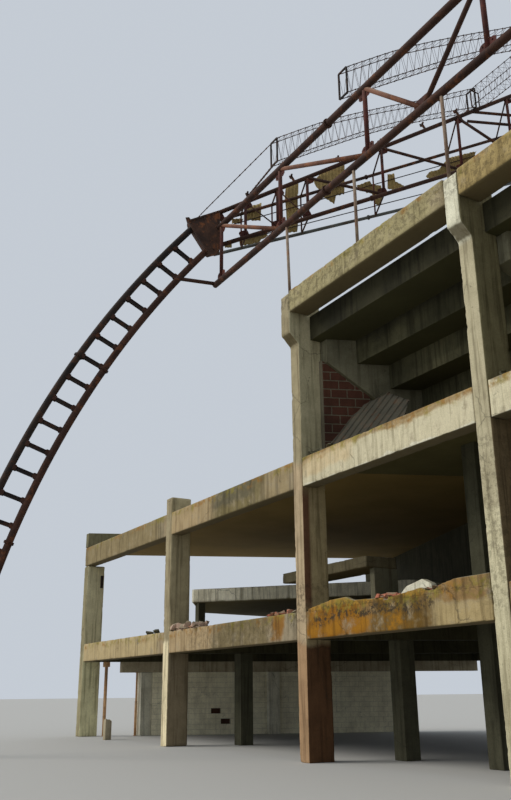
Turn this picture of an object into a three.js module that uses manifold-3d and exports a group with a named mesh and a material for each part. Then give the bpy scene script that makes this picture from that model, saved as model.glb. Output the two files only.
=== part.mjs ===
// Ruined concrete grandstand with rusted roof steel.
// Units are millimetres, +Z is up. X runs along the rear facade, Y runs from the rear facade
// towards the field. The crosswise lines of the plan are slanted, so most pieces are drawn on
// a straight grid and sheared along X.
import * as THREE from 'three';
import * as BufferGeometryUtils from 'three/addons/utils/BufferGeometryUtils.js';
import Module from 'manifold-3d';

const wasm = await Module();
wasm.setup();

// Driving dimensions of the plan
const GRID_ANGLE = THREE.MathUtils.degToRad(68);
const SLANT = 1 / Math.tan(GRID_ANGLE);
const COLUMN_X = [-16360, -8130, 0, 6770, 13540];
const COLUMN_WIDTH = 435;
const COLUMN_DEPTH = 740;
const INNER_DEPTH = 450;
const ROW_B = 2200;
const ROW_C = 7000;
const WING_ROW_C = 4400;
const ROW_D = 9600;
const STAND_DEPTH = 10340;
const MID_COLUMN_X = 4050;
const WING_BACK_ROW = 11300;
const WING_DEPTH = 12600;
const WING_L1_DEPTH = 15800;
const UPSTAND_END = 12500;
const WING_CORNER = [-3060, 9500];
const WING_MEETS_SEATS = 7000;
const FIELD_WALL_END = 50;
const GAP = 0.3;
const JOINT_INSIDE = 200;
const FAR = 20000;

// Driving dimensions of the levels
const L1_SOFFIT = 2815;
const L1_TOP = 3510;
const L2_SOFFIT = 6670;
const L2_TOP = 7460;
const L3_SOFFIT = 11600;
const L3_TOP = 12260;
const L1_SLAB = 220;
const L2_SLAB = 280;
const BEAM_DEPTH_Y = 420;
const HEAD_REACH = 300;
const HEAD_HEIGHT = 1180;
const WING_COLUMN_TOP = 7990;
const DECK_EDGE = 120;
const CROSS_BEAM = 300;
const TOP_BEAM_BACK = 330;
const HEAD_DROP = 60;
const UPSTAND_TOP = 8050;
const WALL_TOP = 2400;
const WALL_THICK = 200;
const WALL_END = 12300;
const LINTEL_START = 1500;
const LINTEL_END = 15500;
const PROP_SIZE = 110;
const PROP_Y = 2050;

// Stepped seating
const STEP_RISE = 700;
const STEP_RUN = 840;
const STEP_COUNT = 10;
const FIRST_RUN = 1140;
const SEAT_START_Y = 400;
const SEAT_TOP = 11610;
const FIRST_SOFFIT = 10900;
const SEAT_SLAB = 150;
const RAKER_WIDTH = 400;
const RAKER_SEAT = 640;

// Roof steel, placed on the line of the top beam
const STEEL_PLANE_Y = 0;
const TOP_CHORD_Z = 16800;
const BOTTOM_CHORD_Z = 14720;
const CHORD_RADIUS = 110;
const WEB_RADIUS = 65;
const POST_RADIUS = 45;
const PANEL_X = [-4160, -340, 3930, 8220, 12500, 17550];
const GIRDER_FOOT_X = -4620;
const POST_X = [60, 3290, 6700, 10170];
const POST_LEAN = -90;
const FRAME_X = [-4500, 17900];

// Curved ladder leg: an arc that stands upright on the ground
const LEG_CENTRE = [21300, -3050];
const LEG_RADIUS = 29280;
const LEG_DEPTH = 930;
const LEG_TUBE = 120;
const LEG_TOP_ANGLE = THREE.MathUtils.degToRad(42);
const RUNG_RADIUS = 55;
const RUNG_ANGLE = THREE.MathUtils.degToRad(1.6136);
const RUNG_TOP = THREE.MathUtils.degToRad(39.92);
const RUNG_COUNT = 21;
const LEG_STEPS = 12;
const LEG_FOOT = 700;
const FOOT_PLATE = 50;
const STRUT_ANGLE = THREE.MathUtils.degToRad(38.36);

// Rising roof frame: each chord is a height at the facade and a slope
const ROOF_REACH = 14000;
const ROOF_TUBE = 95;
const ROOF_WEB = 55;
const BACK_TUBE = 70;
const BACK_OFFSET = 1200;
const CHORD_STARTS = { top: -700, bottom: -350, backTop: 0, backBottom: 0 };
const ROOF_CHORDS = {
  top: { height: 17450, slope: 0.5355, out: 0 },
  bottom: { height: 16160, slope: 0.42, out: 0 },
  backTop: { height: 17820, slope: 0.412, out: BACK_OFFSET },
  backBottom: { height: 16480, slope: 0.34, out: BACK_OFFSET },
};
const ROOF_PANELS = [0, 1000, 2150, 3250, 6100, 9200, 11300, 14000];
const TIE_START = 9600;
const TIE_HEIGHTS = [22700, 22250];

// Heavy box at the node where leg, roof frame and girder meet
const NODE_OUTLINE = [[-1040, 16990], [-330, 15800], [80, 15960], [80, 17480]];
const NODE_CENTRE = [-300, 16600];
const NODE_WIDTH = 360;

// Light lattice rafters: thin box lattices that bend at an upright frame and rise to the front.
// The second one has lost the part below its bend, and the place at X 4040 is empty.
const RAFTER_X = [-4500, -230, 8310, 12580, 17900];
const RAFTER_BROKEN = 1;
const RAFTER_WIDTH = 420;
const RAFTER_BAR = 20;
const RAFTER_TOP = [[-650, 17270], [2060, 20640], [4060, 21620], [6210, 22410], [7680, 22880], [9850, 23660]];
const RAFTER_BOTTOM = [[700, 17660], [2060, 19660], [4000, 20610], [5950, 21510], [7800, 22190], [9850, 22790]];

// Light lattice along the front of the roof, on which the rafters end
const EAVES_S = 9850;
const EAVES_BOTTOM = 22950;
const EAVES_TOP = 23720;

// Platform between the storeys of the wing: its front runs aslant from a post to the inner column
const MEZZANINE_TOP = 5050;
const MEZZANINE_SOFFIT = 4570;
const MEZZANINE = [[-8890, 1400], [-3100, 6600], [-3500, 9000], [-12600, 9000], [-12700, 6900], [-12200, 3400]];
const POST_SIZE = 260;
const POST_CORNERS = [['front', -8930, 1560], ['back', -12500, 8600]];

// Stair landing in front of the platform, and the pier and the short wall that carry it
const LANDING_TOP = 5080;
const LANDING_SOFFIT = 4770;
const LANDING = [[-4140, ROW_B], [140, ROW_B], [140, 3250], [-3700, 3150]];
const LANDING_PIER = [-3500, -2950, 2450, 2900];
const LANDING_WALL = [-60, 140, 2450, 3250];

// Hollow brick that closes the corner under the first slanted beam
const INFILL_THICK = 200;
const INFILL_END_Y = 1900;

// What is left of the parapet on the first floor beam
const PARAPET_THICK = 130;
const PARAPET = [
  [COLUMN_WIDTH, L1_TOP], [COLUMN_WIDTH, 3535], [1500, 3680], [2120, 3700], [2390, 3600],
  [3590, 3545], [3940, 3560], [4770, 3640], [4980, 3560], [5220, 3560], [5380, 3645], [5830, 3715],
  [COLUMN_X[3], 3715], [COLUMN_X[3], L1_TOP],
];

// Fallen corrugated sheet on the second floor, bent over its middle
const SHEET_THICK = 12;
const SHEET_RISE = 1.2;
const SHEET_FRONT_Y = 140;
const SHEET_BACK_Y = 2380;
const SHEET_FRONT = [[1300, 0], [1600, 1750], [2660, 1750], [4130, 780], [4450, 0]];
const SHEET_BACK = [[1400, 0], [2900, 0], [2660, 1750], [1600, 1750]];

const PAINT = {
  concrete: { color: 0xb3ab98, roughness: 0.95, metalness: 0 },
  block: { color: 0xa6a78c, roughness: 0.95, metalness: 0 },
  brick: { color: 0x8c4630, roughness: 0.95, metalness: 0 },
  steel: { color: 0x4a2c22, roughness: 0.8, metalness: 0.5 },
  sheet: { color: 0x6b6f70, roughness: 0.7, metalness: 0.4 },
};

const stand = new THREE.Group();

function addPiece(name, geometry, paint) {
  const material = new THREE.MeshStandardMaterial(PAINT[paint]);
  const mesh = new THREE.Mesh(geometry, material);
  mesh.name = name;
  stand.add(mesh);
  return mesh;
}

// Solids and booleans
function toSolid(geometry) {
  const bare = geometry.clone();
  bare.deleteAttribute('normal');
  bare.deleteAttribute('uv');
  const merged = BufferGeometryUtils.mergeVertices(bare, 0.01);
  const mesh = new wasm.Mesh({
    numProp: 3,
    vertProperties: Float32Array.from(merged.attributes.position.array),
    triVerts: Uint32Array.from(merged.index.array),
  });
  return new wasm.Manifold(mesh);
}

function toGeometry(solid) {
  const mesh = solid.getMesh();
  const geometry = new THREE.BufferGeometry();
  geometry.setAttribute('position', new THREE.BufferAttribute(Float32Array.from(mesh.vertProperties), 3));
  geometry.setIndex(Array.from(mesh.triVerts));
  geometry.computeVertexNormals();
  return geometry;
}

function joined(geometries) {
  return geometries.map(toSolid).reduce((sum, solid) => sum.add(solid));
}

function cut(solid, geometries) {
  return geometries.map(toSolid).reduce((rest, tool) => rest.subtract(tool), solid);
}

// Straight block between two corners
function block(x0, x1, y0, y1, z0, z1) {
  const geometry = new THREE.BoxGeometry(x1 - x0, y1 - y0, z1 - z0);
  geometry.translate((x0 + x1) / 2, (y0 + y1) / 2, (z0 + z1) / 2);
  return geometry;
}

// Moves every point along X with its Y, so that crosswise lines follow the slanted grid
function slanted(geometry) {
  const shear = new THREE.Matrix4().set(
    1, SLANT, 0, 0,
    0, 1, 0, 0,
    0, 0, 1, 0,
    0, 0, 0, 1,
  );
  return geometry.applyMatrix4(shear);
}

function slantedBlock(x0, x1, y0, y1, z0, z1) {
  return slanted(block(x0, x1, y0, y1, z0, z1));
}

// Plan outline raised from z0 to z1
function plate(points, z0, z1) {
  const shape = new THREE.Shape(points.map(([x, y]) => new THREE.Vector2(x, y)));
  const geometry = new THREE.ExtrudeGeometry(shape, { depth: z1 - z0, bevelEnabled: false });
  geometry.translate(0, 0, z0);
  return geometry;
}

// Outline in the Y-Z plane carried along X from x0 to x1
function profile(points, x0, x1) {
  const shape = new THREE.Shape(points.map(([y, z]) => new THREE.Vector2(y, z)));
  const geometry = new THREE.ExtrudeGeometry(shape, { depth: x1 - x0, bevelEnabled: false });
  const turn = new THREE.Matrix4().set(
    0, 0, 1, x0,
    1, 0, 0, 0,
    0, 1, 0, 0,
    0, 0, 0, 1,
  );
  return geometry.applyMatrix4(turn);
}

// Round bar between two points
function bar(from, to, radius, sides = 8) {
  const a = new THREE.Vector3(...from);
  const b = new THREE.Vector3(...to);
  const geometry = new THREE.CylinderGeometry(radius, radius, a.distanceTo(b), sides);
  const up = new THREE.Vector3(0, 1, 0);
  const turn = new THREE.Quaternion().setFromUnitVectors(up, b.clone().sub(a).normalize());
  geometry.applyQuaternion(turn);
  const middle = a.add(b).multiplyScalar(0.5);
  geometry.translate(middle.x, middle.y, middle.z);
  return geometry;
}

// Point of a frame plane: s runs along the slanted grid line from the facade, out is the side offset
function framePoint(frameX, s, z, out = 0) {
  return [
    frameX + s * Math.cos(GRID_ANGLE) - out * Math.sin(GRID_ANGLE),
    STEEL_PLANE_Y + s * Math.sin(GRID_ANGLE) + out * Math.cos(GRID_ANGLE),
    z,
  ];
}

// Columns of the rear facade
const HEAD_TOP = L3_TOP - HEAD_DROP;
function columnCutter(x) {
  return block(x - GAP, x + COLUMN_WIDTH + GAP, -FAR, COLUMN_DEPTH + GAP, -FAR, FAR);
}

function wingColumn(x, top) {
  return block(x, x + COLUMN_WIDTH, 0, COLUMN_DEPTH, 0, top);
}

function tallColumn(x) {
  const underHead = HEAD_TOP - HEAD_HEIGHT;
  const outline = [
    [0, 0],
    [COLUMN_DEPTH, 0],
    [COLUMN_DEPTH, HEAD_TOP],
    [-HEAD_REACH, HEAD_TOP],
    [-HEAD_REACH, underHead],
    [0, underHead - HEAD_REACH],
  ];
  return profile(outline, x, x + COLUMN_WIDTH);
}

COLUMN_X.forEach((x, index) => {
  const tops = [L2_SOFFIT, WING_COLUMN_TOP];
  const shape = index < 2 ? wingColumn(x, tops[index]) : tallColumn(x);
  addPiece(`column_${index + 1}`, shape, 'concrete');
});

// Edge beams, crosswise beams and slab of one floor, cast together
function floor(outline, beams, top, slab, tools) {
  const deck = plate(outline, top - slab, top);
  return toGeometry(cut(joined([deck, ...beams]), tools));
}

function edgeBeam(x0, x1, soffit, top) {
  return block(x0, x1, 0, BEAM_DEPTH_Y, soffit, top);
}

const [C1, C2, C3, C4, C5] = COLUMN_X;
const STAND_END = C5 + COLUMN_WIDTH;
const onGrid = (x, y) => [x + y * SLANT, y];

function crossBeam(x, y1) {
  const side = (COLUMN_WIDTH - CROSS_BEAM) / 2;
  return slantedBlock(x + side, x + side + CROSS_BEAM, 2 * DECK_EDGE, y1, L1_SOFFIT, L1_TOP);
}

// Inner columns stand square to the facade on the slanted rows
function innerColumn(x, y, top, grow = 0) {
  const left = x + y * SLANT;
  return block(left - grow, left + COLUMN_WIDTH + grow, y - grow, y + INNER_DEPTH + grow, 0, top + grow);
}

const L2_UNDER = L2_TOP - L2_SLAB;
const midX = MID_COLUMN_X - ROW_B * SLANT;
const SHORT_COLUMNS = [
  ['inner_column_2b', C2, ROW_B],
  ['inner_column_3b', C3, ROW_B],
  ['front_column_3', C3, ROW_D],
  ['front_column_4', C4, ROW_D],
  ['front_column_5', C5, ROW_D],
];
const STOREY_COLUMNS = [
  ['inner_column_3m', midX, ROW_B],
  ['inner_column_4b', C4, ROW_B],
  ['inner_column_5b', C5, ROW_B],
  ['inner_column_2c', C2, WING_ROW_C],
];
const RAKER_COLUMNS = [
  ['inner_column_3c', C3, ROW_C],
  ['inner_column_4c', C4, ROW_C],
  ['inner_column_5c', C5, ROW_C],
];
const wingBack = onGrid(C1, WING_BACK_ROW);
addPiece(
  'wing_back_column',
  block(wingBack[0], wingBack[0] + COLUMN_WIDTH, WING_BACK_ROW, WING_BACK_ROW + INNER_DEPTH, L1_TOP, L2_UNDER),
  'concrete',
);
const columnHoles = [...STOREY_COLUMNS, ...RAKER_COLUMNS].map(([, x, y]) => innerColumn(x, y, FAR, GAP));

// Stepped seating: the underside of each tread is the next riser's foot
const stepY = (k) => SEAT_START_Y + FIRST_RUN + (k - 1) * STEP_RUN;
const stepSoffit = (k) => FIRST_SOFFIT - k * STEP_RISE;

function seatUnderside(fromY) {
  const points = [[fromY, FIRST_SOFFIT]];
  for (let k = 1; k <= STEP_COUNT; k += 1) {
    points.push([stepY(k), stepSoffit(k - 1)]);
    points.push([stepY(k), stepSoffit(k)]);
  }
  points.push([stepY(STEP_COUNT + 1), stepSoffit(STEP_COUNT)]);
  return points;
}

function seatOutline() {
  const top = seatUnderside(SEAT_START_Y).map(([y, z]) => [y + SEAT_SLAB, z + SEAT_SLAB]);
  const last = top.pop();
  top.push([last[0] - SEAT_SLAB, last[1]]);
  return [[SEAT_START_Y, SEAT_TOP], ...seatUnderside(SEAT_START_Y), ...top.reverse(),
    [SEAT_START_Y + SEAT_SLAB, SEAT_TOP]];
}

function seatingBay(x0, x1) {
  const solid = toSolid(slanted(profile(seatOutline(), x0, x1)));
  return toGeometry(cut(solid, [C3, C4, C5].map(columnCutter)));
}

const HALF_LINE = C4 + COLUMN_WIDTH / 2;
addPiece('seating_bay_1', seatingBay(C3, HALF_LINE - GAP), 'concrete');
addPiece('seating_bay_2', seatingBay(HALF_LINE + GAP, STAND_END), 'concrete');

// Slanted beams under the seating, one behind each tall column
const RAKE = STEP_RISE / STEP_RUN;
const rakerLow = (y) => stepSoffit(1) - RAKER_SEAT - (y - stepY(1)) * RAKE;
const rakerFootY = stepY(1) + (stepSoffit(1) - RAKER_SEAT - L1_TOP) / RAKE;

function rakerShape(x, grow = 0) {
  const start = COLUMN_DEPTH + GAP;
  const end = stepY(STEP_COUNT + 1);
  const outline = [
    [start, rakerLow(start) - grow],
    [rakerFootY, L1_TOP - grow],
    [end, L1_TOP - grow],
    ...seatUnderside(start).reverse(),
  ];
  const side = (COLUMN_WIDTH - RAKER_WIDTH) / 2;
  return slanted(profile(outline, x + side - grow, x + side + RAKER_WIDTH + grow));
}

const RAKER_LINES = [C3, C4, C5];
RAKER_LINES.forEach((x, index) => addPiece(`raker_${index + 3}`, rakerShape(x), 'concrete'));
const rakerHoles = RAKER_LINES.map((x) => rakerShape(x, 2 * GAP));

// Inner columns
addPiece('inner_column_1b', innerColumn(C1, ROW_B, WALL_TOP), 'concrete');
SHORT_COLUMNS.forEach(([name, x, y]) => addPiece(name, innerColumn(x, y, L1_SOFFIT), 'concrete'));
STOREY_COLUMNS.forEach(([name, x, y]) => addPiece(name, innerColumn(x, y, L2_UNDER), 'concrete'));
RAKER_COLUMNS.forEach(([name, x, y]) => {
  const raw = toSolid(innerColumn(x, y, rakerLow(y) + JOINT_INSIDE));
  addPiece(name, toGeometry(cut(raw, rakerHoles)), 'concrete');
});

// Floors
const wingL1 = [
  [C1 + COLUMN_WIDTH, DECK_EDGE],
  onGrid(C3 - GAP, DECK_EDGE),
  onGrid(C3 - GAP, STAND_DEPTH),
  onGrid(C1, WING_L1_DEPTH),
  onGrid(C1, COLUMN_DEPTH + GAP),
];
const wingFieldEdge = [
  onGrid(C3 - GAP, STAND_DEPTH),
  onGrid(C1, WING_L1_DEPTH),
  onGrid(C1, WING_L1_DEPTH - CROSS_BEAM),
  onGrid(C3 - GAP, STAND_DEPTH - CROSS_BEAM),
];
const wingL1Beams = [
  plate(wingFieldEdge, L1_SOFFIT, L1_TOP),
  edgeBeam(C1 + JOINT_INSIDE, C2, L1_SOFFIT, L1_TOP),
  edgeBeam(C2 + JOINT_INSIDE, C3, L1_SOFFIT, L1_TOP),
  crossBeam(C1, LINTEL_END),
  crossBeam(C2, STAND_DEPTH),
];
const wingHoles = [...[C1, C2, C3].map(columnCutter), ...columnHoles];
addPiece('floor_l1_wing', floor(wingL1, wingL1Beams, L1_TOP, L1_SLAB, wingHoles), 'concrete');

const standL1 = [
  onGrid(C3, DECK_EDGE),
  [STAND_END, DECK_EDGE],
  onGrid(STAND_END, STAND_DEPTH),
  onGrid(C3, STAND_DEPTH),
];
const standL1Beams = [
  edgeBeam(C3 + JOINT_INSIDE, C4, L1_SOFFIT, L1_TOP),
  edgeBeam(C4 + JOINT_INSIDE, C5, L1_SOFFIT, L1_TOP),
  ...RAKER_LINES.map((x) => crossBeam(x, STAND_DEPTH)),
  slantedBlock(C3, STAND_END, STAND_DEPTH - CROSS_BEAM, STAND_DEPTH, L1_SOFFIT, L1_TOP),
];
const standHoles = [...RAKER_LINES.map(columnCutter), ...columnHoles];
addPiece('floor_l1_stand', floor(standL1, standL1Beams, L1_TOP, L1_SLAB, standHoles), 'concrete');

// The wing's roof slab runs over the end column and is cut off aslant on the field side
const wingL2 = [
  [C1, DECK_EDGE],
  [C3 - GAP, DECK_EDGE],
  onGrid(C3 - GAP, WING_MEETS_SEATS),
  WING_CORNER,
  onGrid(C1, WING_DEPTH),
];
const wingL2Beams = [edgeBeam(C1, C2, L2_SOFFIT, L2_TOP), edgeBeam(C2 + JOINT_INSIDE, C3, L2_SOFFIT, L2_TOP)];
addPiece('floor_l2_wing', floor(wingL2, wingL2Beams, L2_TOP, L2_SLAB, [C2, C3].map(columnCutter)), 'concrete');

// Wall that closes the storey under the field edge of that slab, between the floors
const toVector = (point) => new THREE.Vector2(...point);
const wallLine = [onGrid(C3, WING_MEETS_SEATS), WING_CORNER, onGrid(C1, WING_DEPTH)].map(toVector);
const wallAlong = wallLine[1].clone().sub(wallLine[0]).normalize();
const wallAcross = new THREE.Vector2(-wallAlong.y, wallAlong.x).multiplyScalar(WALL_THICK);
wallLine[0].addScaledVector(wallAlong, FIELD_WALL_END);
wallLine[2].addScaledVector(wallAlong, -FIELD_WALL_END);
const wallInside = wallLine.map((point) => point.clone().add(wallAcross)).reverse();
const fieldWall = [...wallLine, ...wallInside].map((point) => point.toArray());
addPiece('field_wall', plate(fieldWall, L1_TOP, L2_UNDER), 'concrete');

const seatMeetsL2 = stepY(Math.ceil((FIRST_SOFFIT - L2_TOP) / STEP_RISE)) - GAP;
const standL2 = [
  [C3, DECK_EDGE],
  [STAND_END, DECK_EDGE],
  onGrid(STAND_END, seatMeetsL2),
  onGrid(C3, seatMeetsL2),
];
const standL2Beams = [
  edgeBeam(C3 + JOINT_INSIDE, C4, L2_SOFFIT, L2_TOP),
  edgeBeam(C4 + JOINT_INSIDE, C5, L2_SOFFIT, L2_TOP),
];
const upperHoles = [...RAKER_LINES.map(columnCutter), ...rakerHoles];
addPiece('floor_l2_stand', floor(standL2, standL2Beams, L2_TOP, L2_SLAB, upperHoles), 'concrete');

// Top beams between the column heads
addPiece('top_beam_1', block(C3 + COLUMN_WIDTH, C4, -HEAD_REACH, TOP_BEAM_BACK, L3_SOFFIT, L3_TOP), 'concrete');
addPiece('top_beam_2', block(C4 + COLUMN_WIDTH, C5, -HEAD_REACH, TOP_BEAM_BACK, L3_SOFFIT, L3_TOP), 'concrete');

// Upstand along the wing's open end
addPiece('end_upstand', slantedBlock(C1, C1 + CROSS_BEAM, 0, UPSTAND_END, L2_TOP, UPSTAND_TOP), 'concrete');

// Set-back end wall of hollow block with its lintel and pier
const wallStart = ROW_B + INNER_DEPTH + GAP;
const wallX = C1 + (COLUMN_WIDTH - WALL_THICK) / 2;
const pilaster = innerColumn(C1, ROW_C, WALL_TOP);
const wallRun = slantedBlock(wallX, wallX + WALL_THICK, wallStart, WALL_END, 0, WALL_TOP);
addPiece('end_wall', toGeometry(joined([wallRun, pilaster])), 'block');

// Lintel over the block wall
const lintelX = C1 + (COLUMN_WIDTH - CROSS_BEAM) / 2;
addPiece(
  'wall_lintel',
  slantedBlock(lintelX, lintelX + CROSS_BEAM, LINTEL_START, LINTEL_END, WALL_TOP, L1_SOFFIT),
  'concrete',
);

// Prop under the free end of the lintel
const propX = lintelX + (CROSS_BEAM - PROP_SIZE) / 2;
addPiece('lintel_prop', slantedBlock(propX, propX + PROP_SIZE, PROP_Y, PROP_Y + PROP_SIZE, 0, WALL_TOP), 'steel');

// Steel: every piece can be drawn a little fatter to cut its neighbours with a small gap
function legPoint(frameX, radius, angle) {
  return framePoint(frameX, LEG_CENTRE[0] - radius * Math.cos(angle), LEG_CENTRE[1] + radius * Math.sin(angle));
}

// Tube of few sides along a curve
function tube(curve, steps, radius, sides) {
  const corners = [];
  for (let i = 0; i < sides; i += 1) {
    const angle = (2 * Math.PI * (i + 0.5)) / sides;
    corners.push(new THREE.Vector2(radius * Math.cos(angle), radius * Math.sin(angle)));
  }
  return new THREE.ExtrudeGeometry(new THREE.Shape(corners), { steps, extrudePath: curve, bevelEnabled: false });
}

// Angle at which a chord of the leg comes down into its foot plate
function footAngle(radius) {
  return Math.asin((FOOT_PLATE / 2 - LEG_CENTRE[1]) / radius);
}

class LegArc extends THREE.Curve {
  constructor(frameX, radius) {
    super();
    this.frameX = frameX;
    this.radius = radius;
    this.start = footAngle(radius);
  }

  getPoint(t) {
    const angle = THREE.MathUtils.lerp(this.start, LEG_TOP_ANGLE, t);
    return new THREE.Vector3(...legPoint(this.frameX, this.radius, angle));
  }
}

function ladderLeg(frameX, grow = 0) {
  const inner = LEG_RADIUS - LEG_DEPTH / 2;
  const outer = LEG_RADIUS + LEG_DEPTH / 2;
  const pieces = [inner, outer].map((radius) => tube(new LegArc(frameX, radius), LEG_STEPS, LEG_TUBE + grow, 8));
  for (let i = 0; i < RUNG_COUNT; i += 1) {
    const angle = RUNG_TOP - i * RUNG_ANGLE;
    pieces.push(bar(legPoint(frameX, inner, angle), legPoint(frameX, outer, angle), RUNG_RADIUS + grow, 4));
  }
  const foot = legPoint(frameX, LEG_RADIUS, footAngle(LEG_RADIUS));
  pieces.push(block(foot[0] - LEG_FOOT, foot[0] + LEG_FOOT, foot[1] - LEG_FOOT, foot[1] + LEG_FOOT, 0, FOOT_PLATE));
  return pieces;
}

// Puts a drawn shape into a slanted plane given by its origin and two directions
function placed(geometry, origin, xAxis, yAxis) {
  const x = new THREE.Vector3(...xAxis).normalize();
  const y = new THREE.Vector3(...yAxis).normalize();
  const z = x.clone().cross(y);
  const place = new THREE.Matrix4().makeBasis(x, y, z);
  place.setPosition(...origin);
  return geometry.applyMatrix4(place);
}

function drawn(points, thickness) {
  const shape = new THREE.Shape(points.map(([x, y]) => new THREE.Vector2(x, y)));
  return new THREE.ExtrudeGeometry(shape, { depth: thickness, bevelEnabled: false });
}

const ALONG = [Math.cos(GRID_ANGLE), Math.sin(GRID_ANGLE), 0];
const UP = [0, 0, 1];

function nodeBox(frameX, grow = 0) {
  const outline = NODE_OUTLINE.map(([s, z]) => [
    s + 2 * grow * Math.sign(s - NODE_CENTRE[0]),
    z + 2 * grow * Math.sign(z - NODE_CENTRE[1]),
  ]);
  const box = drawn(outline, NODE_WIDTH + 2 * grow);
  return placed(box, framePoint(frameX, 0, 0, NODE_WIDTH / 2 + grow), ALONG, UP);
}

function chordPoint(frameX, chord, s) {
  const { height, slope, out } = ROOF_CHORDS[chord];
  return framePoint(frameX, s, height + slope * s, out);
}

function roofFrame(frameX, grow = 0) {
  const main = ROOF_TUBE + grow;
  const web = ROOF_WEB + grow;
  const link = (chordA, sA, chordB, sB, radius) =>
    bar(chordPoint(frameX, chordA, sA), chordPoint(frameX, chordB, sB), radius, radius < main ? 4 : 6);
  const pieces = [
    nodeBox(frameX, grow),
    ...Object.entries(CHORD_STARTS).map(([chord, start]) =>
      link(chord, start, chord, ROOF_REACH, ROOF_CHORDS[chord].out ? BACK_TUBE + grow : main)),
  ];
  ROOF_PANELS.forEach((s, index) => {
    pieces.push(link('top', s, 'bottom', s, web));
    pieces.push(link('backTop', s, 'backBottom', s, web));
    pieces.push(link('top', s, 'backTop', s, web));
    pieces.push(link('bottom', s, 'backBottom', s, web));
    const next = ROOF_PANELS[index + 1];
    if (next && index > 2) {
      pieces.push(link('top', s, 'bottom', next, web));
    }
  });
  TIE_HEIGHTS.forEach((z) => {
    pieces.push(bar(framePoint(frameX, TIE_START, z), framePoint(frameX, ROOF_REACH, z), web, 4));
  });
  return pieces;
}

// Long girder over the top beam, with its posts
function longGirder() {
  const at = (x, z) => [x, STEEL_PLANE_Y, z];
  const pieces = [
    bar(at(FRAME_X[0], TOP_CHORD_Z), at(FRAME_X[1], TOP_CHORD_Z), CHORD_RADIUS),
    bar(at(GIRDER_FOOT_X, BOTTOM_CHORD_Z), at(PANEL_X[5], BOTTOM_CHORD_Z), CHORD_RADIUS),
  ];
  PANEL_X.forEach((x, index) => {
    pieces.push(bar(at(x, BOTTOM_CHORD_Z), at(x, TOP_CHORD_Z), WEB_RADIUS));
    const next = PANEL_X[index + 1];
    if (next === undefined) {
      return;
    }
    if (index < 2) {
      pieces.push(bar(at(x, TOP_CHORD_Z), at(next, BOTTOM_CHORD_Z), WEB_RADIUS));
    } else {
      const middle = (x + next) / 2;
      pieces.push(bar(at(x, TOP_CHORD_Z), at(middle, BOTTOM_CHORD_Z), WEB_RADIUS));
      pieces.push(bar(at(middle, BOTTOM_CHORD_Z), at(next, TOP_CHORD_Z), WEB_RADIUS));
    }
  });
  FRAME_X.forEach((x, index) => {
    const legSide = legPoint(x, LEG_RADIUS - LEG_DEPTH / 2, STRUT_ANGLE);
    const chordEnd = index === 0 ? GIRDER_FOOT_X + CHORD_RADIUS : PANEL_X[5];
    pieces.push(bar(legSide, at(chordEnd, BOTTOM_CHORD_Z), WEB_RADIUS));
  });
  return pieces;
}

// Ring of four cross bars that holds the chords of a box lattice apart
function latticeRing(top, bottom, place, grow = 0) {
  const half = RAFTER_WIDTH / 2;
  const corners = [place(top, -half), place(top, half), place(bottom, half), place(bottom, -half)];
  return corners.map((corner, index) => bar(corner, corners[(index + 1) % 4], RAFTER_BAR + grow, 4));
}

// Rafter: a straight foot from the girder up to the bend, then a shallow arch to the front
function rafter(index) {
  const place = ([s, z], side) => framePoint(RAFTER_X[index] + side, s, z);
  const pieces = [];
  [RAFTER_TOP, RAFTER_BOTTOM].forEach((points) => {
    [-RAFTER_WIDTH / 2, RAFTER_WIDTH / 2].forEach((side) => {
      const spots = points.map((point) => new THREE.Vector3(...place(point, side)));
      const arch = new THREE.CatmullRomCurve3(spots.slice(1));
      pieces.push(tube(arch, points.length - 2, RAFTER_BAR, 4));
      if (index !== RAFTER_BROKEN) {
        pieces.push(bar(spots[0].toArray(), spots[1].toArray(), RAFTER_BAR, 4));
      }
    });
  });
  const first = index === RAFTER_BROKEN ? 1 : 0;
  const last = RAFTER_TOP.length - 1;
  [...new Set([first, 1, last])].forEach((spot) => {
    pieces.push(...latticeRing(RAFTER_TOP[spot], RAFTER_BOTTOM[spot], place));
  });
  return pieces;
}

function eavesLattice(grow = 0) {
  const half = RAFTER_WIDTH / 2;
  const place = ([x, z], side) => {
    const [px, py] = framePoint(x, EAVES_S, z);
    return [px, py + half + side, z];
  };
  const pieces = [EAVES_TOP, EAVES_BOTTOM].flatMap((z) => [-half, half].map((side) =>
    bar(place([RAFTER_X[0], z], side), place([RAFTER_X[4], z], side), RAFTER_BAR + grow, 4)));
  RAFTER_X.forEach((x) => pieces.push(...latticeRing([x, EAVES_TOP], [x, EAVES_BOTTOM], place, grow)));
  return pieces;
}

// Leans an upright piece along X, its ends still level
function leaning(geometry, lean, footZ) {
  const shear = new THREE.Matrix4().set(
    1, 0, lean, -lean * footZ,
    0, 1, 0, 0,
    0, 0, 1, 0,
    0, 0, 0, 1,
  );
  return geometry.applyMatrix4(shear);
}

// Keeps the main body where a cut leaves a loose chip inside a joint
function mainBody(solid) {
  const bodies = solid.decompose();
  return bodies.reduce((best, body) => (body.volume() > best.volume() ? body : best));
}

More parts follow.
